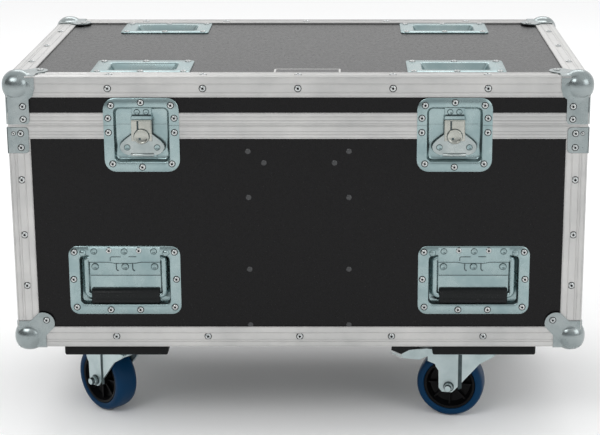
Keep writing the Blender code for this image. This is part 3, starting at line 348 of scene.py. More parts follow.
# Near-black steel. Most of what wears it is painted shade: thin strips and rings laid in folds,
# angles and under edges, where shade falls.
dark_steel_and_shade = metal(
    "dark_steel_and_painted_shade", (0.075, 0.10, 0.105), (0.045, 0.065, 0.07), (0.34, 0.5), 60.0,
    (0.16, 0.19, 0.19), metallic=0.7,
)
laminate = plastic(
    "black_laminate", (0.0010, 0.0008, 0.0012), (0.020, 0.020, 0.021), 0.27, 1100.0, 0.00006,
    specular=0.20,
)
board_paint = plastic(
    "painted_board", (0.0060, 0.0063, 0.0066), (0.045, 0.040, 0.034), 0.55, 500.0, 0.0003,
    specular=0.15, amount=0.5,
)
grip_rubber = plastic(
    "grip_rubber", (0.0022, 0.0036, 0.0041), (0.022, 0.026, 0.027), 0.30, 1500.0, 0.00006,
    specular=0.22,
)
tyre_blue = plastic(
    "blue_tyre_rubber", (0.0003, 0.029, 0.080), (0.020, 0.07, 0.12), 0.44, 1300.0, 0.00008,
    specular=0.12, amount=0.4,
)
core_black = plastic(
    "black_wheel_core", (0.0030, 0.0030, 0.0034), (0.016, 0.015, 0.015), 0.40, 1200.0, 0.0001,
    specular=0.12,
)
# Near-black painted shade, for the hollow of a rivet's mandrel, the ring round a rivet's head and
# the recess of a screw head.
painted_shade_black = plastic(
    "black_painted_shade", (0.0050, 0.0055, 0.0060), (0.05, 0.05, 0.05), 0.5, 1500.0, 0.00005,
    specular=0.15,
)
screw_black = plastic(
    "black_oxide_screw", (0.030, 0.031, 0.033), (0.10, 0.10, 0.10), 0.34, 1500.0, 0.00003
)
plate_black = plastic(
    "bare_name_plate", (0.012, 0.012, 0.014), (0.07, 0.07, 0.07), 0.30, 1500.0, 0.00004,
    specular=0.3,
)
print("finishes:", len(bpy.data.materials))

# %% [markdown]
# The solids keep their shape and only change their finish. A table says which finish goes
# on which kind of part, by the words in its name.

# %% Dress the solid parts
FINISH_BY_WORD = (
    ("edge_frame", aluminium), ("rim_frame", aluminium), ("top_frame", aluminium),
    ("castor_board", board_paint), ("panel", laminate), ("ball_corner", grey_zinc),
    ("fork", galvanised), ("castor_plate", galvanised), ("pedal", galvanised),
    ("core", core_black), ("tyre", tyre_blue), ("grip", grip_rubber),
    ("latch_hook", warm_nickel), ("latch_turn", warm_nickel), ("", zinc),
)
for name, solid in frame["nodes"].items():
    solid.data.materials.clear()
    solid.data.materials.append(next(finish for word, finish in FINISH_BY_WORD if word in name))
    for face in solid.data.polygons:
        face.material_index = 0
print("dressed:", len(frame["nodes"]))

# %% [markdown]
# New pieces are all made the same way: points in a bmesh, a mesh object, and a ride on the
# body that carries the real thing. `add_rings` skins a run of loops, and nearly every
# shape here comes down to that. `facing` turns a flat drawing to look along a face's
# outward normal, so one drawing serves the front, the sides and the lid.

# %% Placing, making and skinning a piece
UNMOVED = Matrix.Identity(4)


def facing(point, normal, up=UPWARD):
    """A matrix whose local Z is the normal and whose local Y is as near to up as it can be."""
    z = Vector(normal).normalized()
    y = Vector(up)
    y = (y - z * y.dot(z)).normalized()
    x = y.cross(z)
    turn = Matrix((x, y, z)).transposed().to_4x4()
    return Matrix.Translation(point) @ turn


def piece(name, bm, body, *materials, slot="zinc_plate", stands_for=(), angle=35):
    """Makes the object, and has it ride on a body and stand for solids if it replaces some."""
    bmesh.ops.remove_doubles(bm, verts=bm.verts, dist=1e-6)
    bmesh.ops.recalc_face_normals(bm, faces=bm.faces)
    mesh = bpy.data.meshes.new(name)
    bm.to_mesh(mesh)
    bm.free()
    mesh.shade_smooth()
    mesh.set_sharp_from_angle(angle=math.radians(angle))
    for material in materials:
        mesh.materials.append(material)
    made = bpy.data.objects.new(name, mesh)
    bpy.context.scene.collection.objects.link(made)
    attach(made, body)
    if stands_for:
        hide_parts(*stands_for)
    return made


def add_rings(bm, rings, matrix=UNMOVED, close_start=False, close_end=True, material=0):
    """Skins a run of loops of equal length, each a list of local points."""
    loops = [[bm.verts.new(matrix @ Vector(p)) for p in ring] for ring in rings]
    for first, second in zip(loops, loops[1:]):
        for i in range(len(first)):
            j = (i + 1) % len(first)
            face = bm.faces.new((first[i], first[j], second[j], second[i]))
            face.material_index = material
    if close_start:
        bm.faces.new(loops[0][::-1]).material_index = material
    if close_end:
        bm.faces.new(loops[-1]).material_index = material


# %% [markdown]
# The edging is an aluminium extrusion, and its long fine ribs show on every face. They are
# real ridges here: each is a thin bead with sloping sides, half a millimetre proud, so it
# catches the light from any side. Where a latch dish is let into the rim, the ribs stop.

# %% Ribs along the extrusions
BEAD_HEIGHT, BEAD_WIDTH, BEAD_SUNK = 0.0006, 0.0019, 0.0002
BEAD_END = 0.012
EDGING = 0.030
ANGLE_RIBS, BASE_RIM_RIBS, LID_RIM_RIBS, LID_RIBS = mm(
    (1.1, 7.2, 10.4, 20.5, 28.8), (1.2, 5.8, 10.0, 17.0), (1.4, 6.0, 11.2, 16.2),
    (1.2, 6.6, 18.2, 26.8),
)
LATCH_GAPS = [(middle(f"latch_dish_lower_{side}").x, 0.0515) for side in SIDES]
FACE_NORMALS = {"front": FORWARD, "back": BACKWARD, "left": LEFTWARD, "right": RIGHTWARD}


def on_face(face, z):
    """Half the width of a face, and a matrix at its middle at a height."""
    normal = FACE_NORMALS[face]
    half, reach = (HALF_W, HALF_D) if face in ("front", "back") else (HALF_D, HALF_W)
    return half, facing(normal * reach + UPWARD * z, normal)


def add_bead(bm, matrix, half_length, offset, upright=False):
    """One rib, along local X or, when upright, along local Y."""
    rings = []
    for width, height in ((BEAD_WIDTH / 2, -BEAD_SUNK), (BEAD_WIDTH / 4, BEAD_HEIGHT)):
        run = [(-half_length, -width), (half_length, -width), (half_length, width),
               (-half_length, width)]
        rings.append([
            (offset + v, u, height) if upright else (u, offset + v, height) for u, v in run
        ])
    add_rings(bm, rings, matrix)


def level_ribs(bm, face, base_z, offsets, gaps=()):
    """Ribs along a face, left out over each gap, which is a middle and a half width."""
    half, matrix = on_face(face, base_z)
    stops = [BEAD_END - half]
    for centre, width in gaps:
        stops += [centre - width, centre + width]
    stops.append(half - BEAD_END)
    for start, end in zip(stops[::2], stops[1::2]):
        stretched = matrix @ Matrix.Translation(((start + end) / 2, 0, 0))
        for offset in offsets:
            add_bead(bm, stretched, (end - start) / 2, offset)


# %% Ribs on the four sides and the lid's top
base_ribs, lid_ribs = bmesh.new(), bmesh.new()
upright_low = BOTTOM_Z + EDGING
for face in FACE_NORMALS:
    gaps = LATCH_GAPS if face == "front" else ()
    level_ribs(base_ribs, face, BOTTOM_Z, ANGLE_RIBS)
    level_ribs(base_ribs, face, RIM_Z, BASE_RIM_RIBS, gaps)
    level_ribs(lid_ribs, face, PART_Z, LID_RIM_RIBS, gaps)
    level_ribs(lid_ribs, face, LID_LOW.z, LID_RIBS)
    half, matrix = on_face(face, (upright_low + RIM_Z) / 2)
    for rib in ANGLE_RIBS:
        for way in BOTH_WAYS:
            add_bead(base_ribs, matrix, (RIM_Z - upright_low) / 2, way * (half - rib), True)
for rib in ANGLE_RIBS:
    for way in BOTH_WAYS:
        across = facing((0, way * (HALF_D - rib), TOP_Z), UPWARD, BACKWARD)
        add_bead(lid_ribs, across, HALF_W - 0.020, 0.0)
        along = facing((way * (HALF_W - rib), 0, TOP_Z), UPWARD, BACKWARD)
        add_bead(lid_ribs, along, HALF_D - 0.032, 0.0, True)
piece("base_extrusion_ribs", base_ribs, "case_base", aluminium, slot="aluminium")
piece("lid_extrusion_ribs", lid_ribs, "lid", aluminium, slot="aluminium")
print("ribs run on four sides and the lid's top")

# %% [markdown]
# Blind rivets hold everything. From the front each is a bright ring with a sunken mandrel
# in its middle, whose hollow is near-black as painted shade, and a ring of painted shadow
# lies round its foot. One turned profile is drawn once and set down at every place in a
# list, and all the rivets on a body are one piece, which keeps the scene light.

# %% One blind rivet
RIVET = mm((4.5, -0.2), (4.5, 0.3), (4.2, 1.0), (3.3, 1.7), (2.3, 1.9), (1.7, 1.7))
# The mandrel's hollow, which takes the near-black painted shade
MANDREL = mm((1.7, 1.7), (1.5, 0.8), (0.5, 0.6))
# A burr of sheet with a dished middle, where a pin is punched over
DIMPLE = mm((4.9, -0.2), (4.7, 0.9), (4.2, 1.5), (3.6, 1.4), (2.2, 0.7), (0.9, 0.2), (0.3, 0.2))
# A ring of painted shadow where a head meets its sheet
SHADOW_RING = mm((5.3, -0.2), (5.3, 0.1), (4.3, 0.12))
# The second slot, DARK, holds a near-black finish that is painted shade in most places that use it
STEEL, DARK, PLATED = 0, 1, 2
RIVET_SIDES = 14
# The rivets in dishes and corners are a little smaller than those of the edging
DISH_RIVET = 0.95
rivets = {body: bmesh.new() for body in frame["bodies"]}


def circle(radius, height, sides):
    return [
        (radius * math.cos(a), radius * math.sin(a), height)
        for a in (2 * math.pi * i / sides for i in range(sides))
    ]


def add_turned(bm, profile, matrix, sides, material=0, close_start=False, close_end=True):
    """A turned shape from (radius, height) points."""
    rings = [circle(radius, height, sides) for radius, height in profile]
    add_rings(bm, rings, matrix, close_start, close_end, material)


def rivet(body, point, normal, size=1.0, punched=False):
    """A blind rivet or, if punched, a pin that is punched over in its sheet."""
    matrix = facing(point, normal, UPWARD if abs(normal[2]) < 0.5 else BACKWARD)
    matrix = matrix @ Matrix.Scale(size, 4)
    bm = rivets[body]
    if punched:
        add_turned(bm, DIMPLE, matrix, RIVET_SIDES, PLATED)
    else:
        add_turned(bm, RIVET, matrix, RIVET_SIDES, STEEL, close_end=False)
    add_turned(bm, SHADOW_RING, matrix, RIVET_SIDES, DARK, close_end=False)
    if not punched:
        add_turned(bm, MANDREL, matrix, RIVET_SIDES, DARK)


print("corners round a rivet:", RIVET_SIDES)

# %% Rows of rivets on the edging
RIVET_INSET = 0.0155
UPRIGHT_RIVETS = (0.235, 0.310, 0.390)


def rivet_row(body, face, z, places):
    matrix = on_face(face, z)[1]
    for place in places:
        rivet(body, matrix @ Vector((place, 0, 0)), FACE_NORMALS[face])


LONG_ROW, SHORT_ROW = mm((-261, -130.6, 0, 130.6, 261), (-118, 0, 118))
for face in FACE_NORMALS:
    row = LONG_ROW if face in ("front", "back") else SHORT_ROW
    rivet_row("lid", face, LID_LOW.z + 0.0125, row)
    rivet_row("case_base", face, BOTTOM_Z + RIVET_INSET, row)
    end = on_face(face, 0.0)[0] - RIVET_INSET
    for z in UPRIGHT_RIVETS:
        rivet_row("case_base", face, z, (-end, end))
for way in BOTH_WAYS:
    for x in LONG_ROW:
        rivet("lid", (x, way * (HALF_D - RIVET_INSET), TOP_Z), UPWARD)
    for y in SHORT_ROW:
        rivet("lid", (way * (HALF_W - RIVET_INSET), y, TOP_Z), UPWARD)
print("rows of rivets set on the edging")

# %% [markdown]
# The front panel also carries small blackened screw heads that hold fittings inside the
# case. They are turned like the rivets, but with a low dome, and without a mandrel.

# %% Screws in the front panel
SCREW_HEAD = mm((4.0, -0.2), (3.9, 0.4), (3.0, 1.2), (1.2, 1.5))
PANEL_SCREWS = [(x, z) for x in (-70, 70) for z in (430.5, 364.0, 258.5, 175.0)]
PANEL_SCREWS += [(-48, 414), (50, 414)]
panel_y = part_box("base_front_panel")[0].y


def to_front(x, z, y=FRONT_Y):
    return facing((x, y, z), FORWARD)


screws = bmesh.new()
for x, z in mm(*PANEL_SCREWS):
    add_turned(screws, SCREW_HEAD, to_front(x, z, panel_y), sides=14)
piece("panel_screws", screws, "case_base", screw_black, slot="wheel_nylon")
print("screws in the front panel:", len(PANEL_SCREWS))

# %% [markdown]
# Latch, handle and wheel dishes are all deep-drawn from sheet. In Blender that is a run of
# rounded rectangles, from the flange's outer edge over its rim and down the wall to the
# floor, skinned into one surface. Solidify then gives the sheet its thickness.

# %% A pressed dish
SHEET = 0.0012


def rounded_box(half_w, half_h, radius, height, steps=6):
    """A rectangle with round corners, anticlockwise, at a height."""
    points = []
    for quarter, (sx, sy) in enumerate(((1, 1), (-1, 1), (-1, -1), (1, -1))):
        for step in range(steps + 1):
            a = (quarter + step / steps) * math.pi / 2
            x = sx * (half_w - radius) + radius * math.cos(a)
            points.append((x, sy * (half_h - radius) + radius * math.sin(a), height))
    return points


def pressed_dish(name, rings, matrix, body, solid, keep=None):
    """rings holds (half width, half height, corner radius, height), from the edge inward."""
    bm = bmesh.new()
    add_rings(bm, [rounded_box(*ring) for ring in rings], matrix)
    if keep:
        geometry = bm.verts[:] + bm.edges[:] + bm.faces[:]
        bmesh.ops.bisect_plane(
            bm, geom=geometry, plane_co=keep[0], plane_no=keep[1], clear_outer=True
        )
    made = piece(name, bm, body, zinc, stands_for=[solid], angle=50)
    outward = matrix.to_3x3() @ UPWARD
    flange = max(made.data.polygons, key=lambda face: face.area)
    if flange.normal.dot(outward) < 0:
        made.data.flip_normals()
    thick = made.modifiers.new("sheet", "SOLIDIFY")
    thick.thickness = SHEET
    thick.offset = -1.0
    # The sheet's cut edge stays crisp, so its shading doesn't spread over the dish
    crisp = made.modifiers.new("crisp", "EDGE_SPLIT")
    crisp.split_angle = math.radians(50)


# %% [markdown]
# A latch dish belongs half to the base and half to the lid, because it is cut along the
# parting line. The whole dish is drawn twice, and a plane takes away the half that
# belongs to the other body.

# %% Latch dishes, split at the lid
LATCH_RINGS = mm(
    (52.0, 52.5, 16.5, 0.4), (52.0, 52.5, 16.5, 1.3), (51.4, 51.9, 16.0, 1.8),
    (40.0, 41.0, 9.0, 1.8), (38.8, 39.6, 8.0, 1.5), (38.0, 38.6, 7.4, 0.6),
    (36.2, 36.8, 6.2, -5.2), (35.2, 35.8, 5.6, -6.4), (33.6, 34.2, 4.6, -6.9),
)
LATCH_RIVETS = mm(
    (-41, 42), (0, 46), (41, 42), (-45.5, 24), (45.5, 24), (-45.5, 3.7), (45.5, 3.7),
    (-41, -41), (0, -45.7), (41, -41),
)
LATCH_FLANGE = 0.0018
HALF_SPLIT = 0.00018
for side in SIDES:
    lower, upper = f"latch_dish_lower_{side}", f"latch_dish_upper_{side}"
    x = middle(lower).x
    centre_z = (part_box(lower)[0].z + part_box(upper)[1].z) / 2
    for level, solid, body, way in (
        ("lower", lower, "case_base", 1), ("upper", upper, "lid", -1),
    ):
        keep = (UPWARD * (PART_Z - way * HALF_SPLIT), UPWARD * way)
        pressed_dish(
            f"latch_pan_{level}_{side}", LATCH_RINGS, to_front(x, centre_z), body, solid, keep
        )
    for u, v in LATCH_RIVETS:
        body = "lid" if centre_z + v > PART_Z else "case_base"
        rivet(body, (x + u, FRONT_Y - LATCH_FLANGE, centre_z + v), FORWARD, DISH_RIVET)
print("latch dishes pressed:", len(SIDES) * 2)

# %% [markdown]
# The latch itself is a butterfly type: a three-cornered plate hinged at its foot, a hook
# that slides on it and a thumb turn. Each is a piece of its own, since all three move. The
# plate is flat, so an outline is enough: its right half is listed and mirrored. A turned
# profile makes the rolled hinge at its foot.

# %% Butterfly plates
LATCH_SHEET = 0.0020
HALF_ROLL = 16.2
# The plate's right edge, from the hinge pin up; its top is as high as the solid's
PLATE_SHOULDER = mm(
    (16.0, 2.9), (16.6, 0.6), (20.5, 0), (25.5, 2.2), (29.0, 5.5), (30.8, 9.5), (31.0, 12.8),
    (29.6, 16.5), (24.8, 21.5), (18.8, 26.2),
)
HINGE_ROLL = mm(
    (1.4, -HALF_ROLL), (2.5, -HALF_ROLL), (2.9, 0.6 - HALF_ROLL), (2.9, HALF_ROLL - 0.6),
    (2.5, HALF_ROLL), (1.4, HALF_ROLL),
)


def add_plate(bm, points, low, high, matrix, edge=0.0004, material=0):
    """A flat plate of any outline, with its front edge taken off by a small slope."""
    centre = Vector((sum(p[0] for p in points), sum(p[1] for p in points))) / len(points)
    inner = []
    for p in points:
        arm = Vector(p) - centre
        inner.append(centre + arm * (1 - edge / max(arm.length, edge)))
    levels = ((points, low), (points, high - edge), (inner, high))
    rings = [[(x, y, height) for x, y in outline] for outline, height in levels]
    add_rings(bm, rings, matrix, close_start=True, material=material)


for side in SIDES:
    tilt = joint_place(f"latch_{side}_tilt")
    solid, body = f"latch_plate_{side}", f"latch_{side}_plate"
    low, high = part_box(solid)
    front, shoulder = -low.y - 0.0001, high.z - tilt.z
    right = PLATE_SHOULDER + [(0.0145, shoulder - 0.0018), (0.0118, shoulder)]
    outline = right + [(-u, v) for u, v in reversed(right)]
    plate, flat = bmesh.new(), to_front(tilt.x, tilt.z, 0.0)
    add_plate(plate, outline, front - LATCH_SHEET, front, flat, 0.0005)
    add_turned(plate, HINGE_ROLL, facing(tilt, RIGHTWARD), sides=20, close_start=True)
    piece(f"latch_butterfly_plate_{side}", plate, body, plate_zinc, stands_for=[solid])
    for way in BOTH_WAYS:
        rivet(body, (tilt.x + way * 0.0207, -front, tilt.z + 0.0112), FORWARD, 0.85, True)
print("latch plates hinged:", len(SIDES))

# %% [markdown]
# The hook is a flat tongue with a pressed fold down its left third. One thick slab would
# look cast. So it is built up as the real pressing looks: a thin tongue and two raised fields
# on it, with a dark strip between them that is painted shade in the fold.

# %% Latch hooks
TONGUE_CUT = 0.001


def add_block(bm, left, right, low, high, back, front, matrix, edge):
    """A plate with straight sides."""
    outline = [(left, low), (right, low), (right, high), (left, high)]
    add_plate(bm, outline, back, front, matrix, edge)


def tongue_outline(half, low, top):
    """A block whose two upper corners are cut off."""
    cut, inner = top - TONGUE_CUT, half - TONGUE_CUT
    return [(-half, low), (half, low), (half, cut), (inner, top), (-inner, top), (-half, cut)]


def add_box(bm, low, high, matrix=UNMOVED, material=0):
    """A box between two corners, in local or world places."""
    rings = [
        [(low[0], low[1], z), (high[0], low[1], z), (high[0], high[1], z), (low[0], high[1], z)]
        for z in (low[2], high[2])
    ]
    add_rings(bm, rings, matrix, close_start=True, material=material)


for side in SIDES:
    solid = f"latch_hook_{side}"
    hook_low, hook_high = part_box(solid)
    half = (hook_high.x - hook_low.x) / 2
    back, front, top = -hook_high.y, -hook_low.y, hook_high.z
    tongue = bmesh.new()
    flat = to_front(joint_place(f"latch_{side}_tilt").x, 0.0, 0.0)
    add_plate(tongue, tongue_outline(half, hook_low.z, top), back, front, flat, 0.0003)
    # The turn covers the foot of the wide field, and the fold runs down past it
    low = joint_place(f"latch_{side}_turn").z + 0.004
    high, foot = top - 0.0010, front - 0.0001
    add_block(tongue, -0.0042, half - 0.0008, low, high, foot, front + 0.0008, flat, 0.0006)
    add_block(
        tongue, 0.0008 - half, -0.0063, low - 0.008, high, foot, front + 0.0006, flat, 0.0005
    )
    # The dark strip in the fold between the fields is painted shade
    add_box(tongue, (-0.0062, low, front), (-0.0043, high - 0.0002, front + 0.0002), flat, DARK)
    piece(
        f"latch_tongue_{side}", tongue, f"latch_{side}_hook", warm_nickel, dark_steel_and_shade,
        slot="nickel", stands_for=[solid],
    )
print("latch hooks folded:", len(SIDES))

# %% [markdown]
# The thumb turn is a disc with a rolled rim and a shallow dish. It is round, so a profile
# turned about its middle gives all of it. A dark ring round its foot is painted shade under
# the rim, and a small pivot mark beside the middle shows how far it has turned.

# %% Thumb turns
TURN_SIDES = 44
# The dish, as parts of the turn's radius and depths under its rim
TURN_DISH = ((0.82, 0.0006), (0.60, 0.0012), (0.35, 0.0016), (0.08, 0.0017))
TURN_PIVOT = mm((1.7, 0), (1.7, 0.8), (1.1, 1.1), (0.5, 0.8))
for side in SIDES:
    solid = f"latch_turn_{side}"
    low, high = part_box(solid)
    radius = (high.x - low.x) / 2
    back, front = 0.0009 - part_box(f"latch_hook_{side}")[0].y, 0.0012 - low.y
    turn = joint_place(f"latch_{side}_turn")
    disc, spot = bmesh.new(), to_front(turn.x, turn.z, 0.0)
    rim = [
        (radius - 0.0008, back), (radius, back + 0.0005), (radius, front - 0.0006),
        (radius - 0.0005, front - 0.0001), (radius - 0.0011, front),
    ]
    add_turned(disc, rim, spot, TURN_SIDES, close_start=True, close_end=False)
    dish = [rim[-1]] + [(radius * part, front - depth) for part, depth in TURN_DISH]
    add_turned(disc, dish, spot, TURN_SIDES)
    # A dark ring under the rim, as painted shade
    rim_shade_ring = [(radius + 0.0007, back - 0.0003), (radius + 0.0007, back), (radius - 0.0010, back)]
    add_turned(disc, rim_shade_ring, spot, TURN_SIDES, DARK, close_end=False)
    mark = spot @ Matrix.Translation((-0.0025, -0.0032, front - 0.0018))
    add_turned(disc, TURN_PIVOT, mark, 12, DARK)
    piece(
        f"latch_thumb_turn_{side}", disc, f"latch_{side}_turn", warm_nickel, dark_steel_and_shade,
        slot="nickel", stands_for=[solid], angle=50,
    )
print("thumb turns:", len(SIDES))

# %% [markdown]
# The keeper is riveted to the lid's half of the dish, and the hook closes in front of its
# lip. A foot, a lip and two dark strips of painted shade in its angles are all that shows.
# The lugs belong to the base's half, where they hold the ends of the plate's hinge pin.

# %% Keepers and pin lugs
LATCH_FLOOR = HALF_D + LATCH_RINGS[-1][3]
KEEPER_RISE, KEEPER_HEIGHT = 0.0072, 0.0165
KEEPER_HALF, LIP_HALF, LIP_HEIGHT = 0.0140, 0.0145, 0.0052
for side in SIDES:
    tilt = joint_place(f"latch_{side}_tilt")
    flat = to_front(tilt.x, 0.0, 0.0)
    low = PART_Z + KEEPER_RISE
    top, foot = low + KEEPER_HEIGHT, LATCH_FLOOR - 0.0003
    lip_front = -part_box(f"latch_plate_{side}")[0].y - 0.0006
    keeper, lugs = bmesh.new(), bmesh.new()
    add_block(
        keeper, -KEEPER_HALF, KEEPER_HALF, low + 0.0045, top, foot, LATCH_FLOOR + 0.0016, flat,
        0.0004,
    )
    lip = tongue_outline(LIP_HALF, low, low + LIP_HEIGHT)
    add_plate(keeper, lip, foot, lip_front, flat, 0.0008)
    # Two dark strips of painted shade: above the lip, and along the keeper's top
    for first, last in ((low + 0.0050, low + 0.0068), (top - 0.0002, top + 0.0010)):
        add_box(
            keeper, (-0.0128, first, LATCH_FLOOR - 0.0002), (0.0128, last, LATCH_FLOOR + 0.0018),
            flat, DARK,
        )
    piece(f"latch_keeper_{side}", keeper, "lid", zinc, dark_steel_and_shade)
    for way in BOTH_WAYS:
        spot = (tilt.x + way * 0.0063, -(LATCH_FLOOR + 0.0016), top - 0.0062)
        rivet("lid", spot, FORWARD, 0.8, True)
        inner, outer = sorted((way * 0.0163, way * 0.0193))
        add_box(
            lugs, (tilt.x + inner, tilt.y - 0.0016, tilt.z - 0.0024),
            (tilt.x + outer, FRONT_Y + 0.0075, tilt.z + 0.0004),
        )
    piece(f"latch_pin_lugs_{side}", lugs, "case_base", zinc)
print("latches dressed:", len(SIDES))

# %% [markdown]
# A sprung handle sits in its own dish, and a pressed cover over the pivot hides the
# springs that pull it flat. The cover is bent sheet, the same all along except for its wavy
# lower edge. So its side profile is drawn and set down at a few places along it.

# %% Spring covers
# The cover's lower edge is wavy: how far it hangs below the ends, at places along it
COVER_DROPS = ((-50.2, 0), (-23, 0), (-14.5, 1.7), (14.5, 1.7), (23, 0), (50.2, 0))
# Profiles run inward from the front and up from the handle's middle
LOWER_COVER = (
    (5.2, 27.0), (5.2, 7.5), (5.6, 6.2), (7.0, 5.6), (7.0, -24.0), (8.2, -25.0), (11.2, -25.0),
    (11.2, 27.0),
)
SPRING_ENDS = (
    ((-20.0, 29.0), (-20.0, 33.5), (-18.5, 35.0), (-5.0, 35.0)), ((6.0, 35.2), (17.0, 35.2)),
)
SPRING_FEET = ((0, 26.0), (0, 15.0), (1.2, 13.2), (3.0, 12.6))


def add_tube(bm, route, radius, sides=16, matrix=UNMOVED, material=0):
    """A round rod along a list of points, turned evenly through its bends."""
    points = [Vector(p) for p in route]
    rings = []
    for i, point in enumerate(points):
        ahead = points[min(i + 1, len(points) - 1)] - points[max(i - 1, 0)]
        ahead.normalize()
        side_way = ahead.cross(BACKWARD).normalized()
        turns = [2 * math.pi * k / sides for k in range(sides)]
        rings.append([
            point + (side_way * math.cos(a) + BACKWARD * math.sin(a)) * radius for a in turns
        ])
    add_rings(bm, rings, matrix, close_start=True, material=material)


def add_profile(bm, sections, matrix, material=0):
    """Skins (y, z) profiles in millimetres that stand at different places along X."""
    rings = [mm(*[(x, y, z) for y, z in profile]) for x, profile in sections]
    add_rings(bm, rings, matrix, close_start=True, material=material)


def shadow_gap(y, z, height):
    """The profile of a strip of painted shadow that lies in the angle under a step."""
    return [(y, z), (y, z - height), (y + 0.4, z - height), (y + 0.4, z)]


def upper_cover(drop):
    low = 26.8 - drop
    return [
        (-0.1, 48.8), (-0.6, 48.0), (-0.6, low + 3.0), (-0.2, low + 0.8), (1.0, low),
        (10.8, low), (10.8, 34.0), (0.4, 48.8),
    ]


def spring_cover(side, place):
    """A cover with strips of painted shadow under its steps, and its two springs' ends in painted
    shade.
    """
    cover = bmesh.new()
    add_profile(cover, [(u, upper_cover(drop)) for u, drop in COVER_DROPS], place)
    # Strips of painted shadow under the wavy edge and under the lower step
    gaps = [(u, shadow_gap(5.0, 27.2 - drop, 2.6)) for u, drop in COVER_DROPS]
    add_profile(cover, gaps, place, DARK)
    gap = shadow_gap(6.8, 6.2, 1.6)
    add_profile(cover, [(-49.4, gap), (49.4, gap)], place, DARK)
    add_profile(cover, [(-49.6, LOWER_COVER), (49.6, LOWER_COVER)], place)
    # The springs' ends and feet are near-black as painted shade
    for route in SPRING_ENDS:
        add_tube(cover, mm(*[(u, -0.6, v) for u, v in route]), 0.0006, 8, place, DARK)
    for foot in (-12.5, 10.5):
        route = mm(*[(foot + u, 5.0, v) for u, v in SPRING_FEET])
        add_tube(cover, route, 0.0008, 8, place, DARK)
    piece(f"handle_spring_cover_{side}", cover, "case_base", zinc, dark_steel_and_shade, angle=25)


print("places along a spring cover:", len(COVER_DROPS))

# %% [markdown]
# The handle's dish is pressed like the latch's, but in one part. Its floor is nearly hidden
# by the cover and the grip. A small bulge in the sheet clears each end of the pivot rod,
# and a quarter of a circle, turned, is enough for it.

# %% Handle dishes
HANDLE_RINGS = mm(
    (78.5, 50.5, 13.0, -1.3), (78.5, 50.5, 13.0, -0.4), (78.0, 50.0, 12.5, 0),
    (65.0, 38.0, 8.5, 0), (64.0, 37.0, 7.8, -0.4), (63.3, 36.3, 7.2, -1.6),
    (62.8, 35.8, 6.6, -10.4), (61.8, 35.0, 5.6, -11.4),
)
HANDLE_RIVETS = mm(
    (-70.5, 41.8), (70.5, 41.8), (-72.5, 1.5), (72.5, 1.5), (-69.5, -40), (69.5, -40),
    (-21.5, -44), (20.5, -44), (-21.5, 44), (20.5, 44),
)
BULGE_RADIUS, BULGE_HEIGHT = 0.0051, 0.0034
BULGE_RINGS = 8
for side in SIDES:
    solid = f"handle_dish_{side}"
    x, z = middle(solid).x, middle(solid).z
    pressed_dish(f"handle_pan_{side}", HANDLE_RINGS, to_front(x, z), "case_base", solid)
    for u, v in HANDLE_RIVETS:
        rivet("case_base", (x + u, FRONT_Y - 0.0003, z + v), FORWARD, DISH_RIVET)
    spring_cover(side, Matrix.Translation((x, FRONT_Y, z)))
    for u in (-0.0425, 0.0, 0.0415):
        rivet("case_base", (x + u, FRONT_Y + 0.0052, z + 0.0187), FORWARD, 1.0, True)
        rivet("case_base", (x + u, FRONT_Y - 0.0006, z + 0.0430), FORWARD, 0.9, True)
    loops = []
    for i in range(BULGE_RINGS):
        a = math.radians(90) * (1 - i / (BULGE_RINGS - 0.7))
        loops.append(circle(BULGE_RADIUS * math.sin(a), BULGE_HEIGHT * math.cos(a) - 0.0002, 24))
    bulges = bmesh.new()
    for way in BOTH_WAYS:
        add_rings(bulges, loops, to_front(x + way * 0.0585, z + 0.0404))
    piece(f"handle_pivot_bulges_{side}", bulges, "case_base", zinc, angle=60)
print("handle dishes pressed:", len(SIDES))

# %% [markdown]
# The bail is one bent rod. A curve with a bevel could draw it, but a tube that follows a
# list of points is a mesh at once, and its bends stay where the joint and the grip are.
# One half is listed and the other is its mirror image.

# %% Bent rods
BAIL_RADIUS = 0.0040
BAIL_BEND, BAIL_TOP_BEND = 0.0065, 0.0039
BAIL_END = 0.0435
BEND_STEPS = 6


def quarter_turn(radius):
    """How far across and along a round bend has come, at even steps."""
    for step in range(BEND_STEPS + 1):
        a = step / BEND_STEPS * math.pi / 2
        yield radius * (1 - math.cos(a)), radius * (1 - math.sin(a))


for side in SIDES:
    pivot = joint_place(f"handle_{side}_lift")
    bail_low, bail_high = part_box(f"handle_bail_{side}")
    arm = (bail_high.x - bail_low.x) / 2 - BAIL_RADIUS
    grip_z = middle(f"handle_grip_{side}").z
    half = [(BAIL_END, pivot.z), (arm - BAIL_TOP_BEND, pivot.z)]
    half += [(arm - u, pivot.z - v) for v, u in quarter_turn(BAIL_TOP_BEND)]
    half += [(arm - u, grip_z + v) for u, v in quarter_turn(BAIL_BEND)]
    route = [(pivot.x + u, pivot.y, z) for u, z in half]
    route += [(pivot.x - u, pivot.y, z) for u, z in reversed(half)]
    bail = bmesh.new()
    add_tube(bail, route, BAIL_RADIUS)
    piece(
        f"handle_rod_{side}", bail, f"handle_{side}", zinc, stands_for=[f"handle_bail_{side}"]
    )
print("bails bent:", len(SIDES))

# %% [markdown]
# The grip is moulded round the rod's lower run. A rounded box would come close, but the
# real one has a ledge along its upper front edge and two fine ribs. So its own section is
# drawn and run from end to end, and it shrinks a little at both ends.

# %% Moulded grips
# The section, as parts of its half depth (out is negative) and half height
GRIP_SECTION = (
    (0.50, 1.0), (-0.20, 1.0), (-0.42, 0.95), (-0.48, 0.84), (-0.52, 0.76), (-0.88, 0.62),
    (-1.0, 0.54), (-1.0, -0.78), (-0.90, -0.92), (-0.60, -1.0), (0.50, -1.0), (0.85, -0.90),
    (1.0, -0.70), (1.0, 0.70), (0.85, 0.90),
)
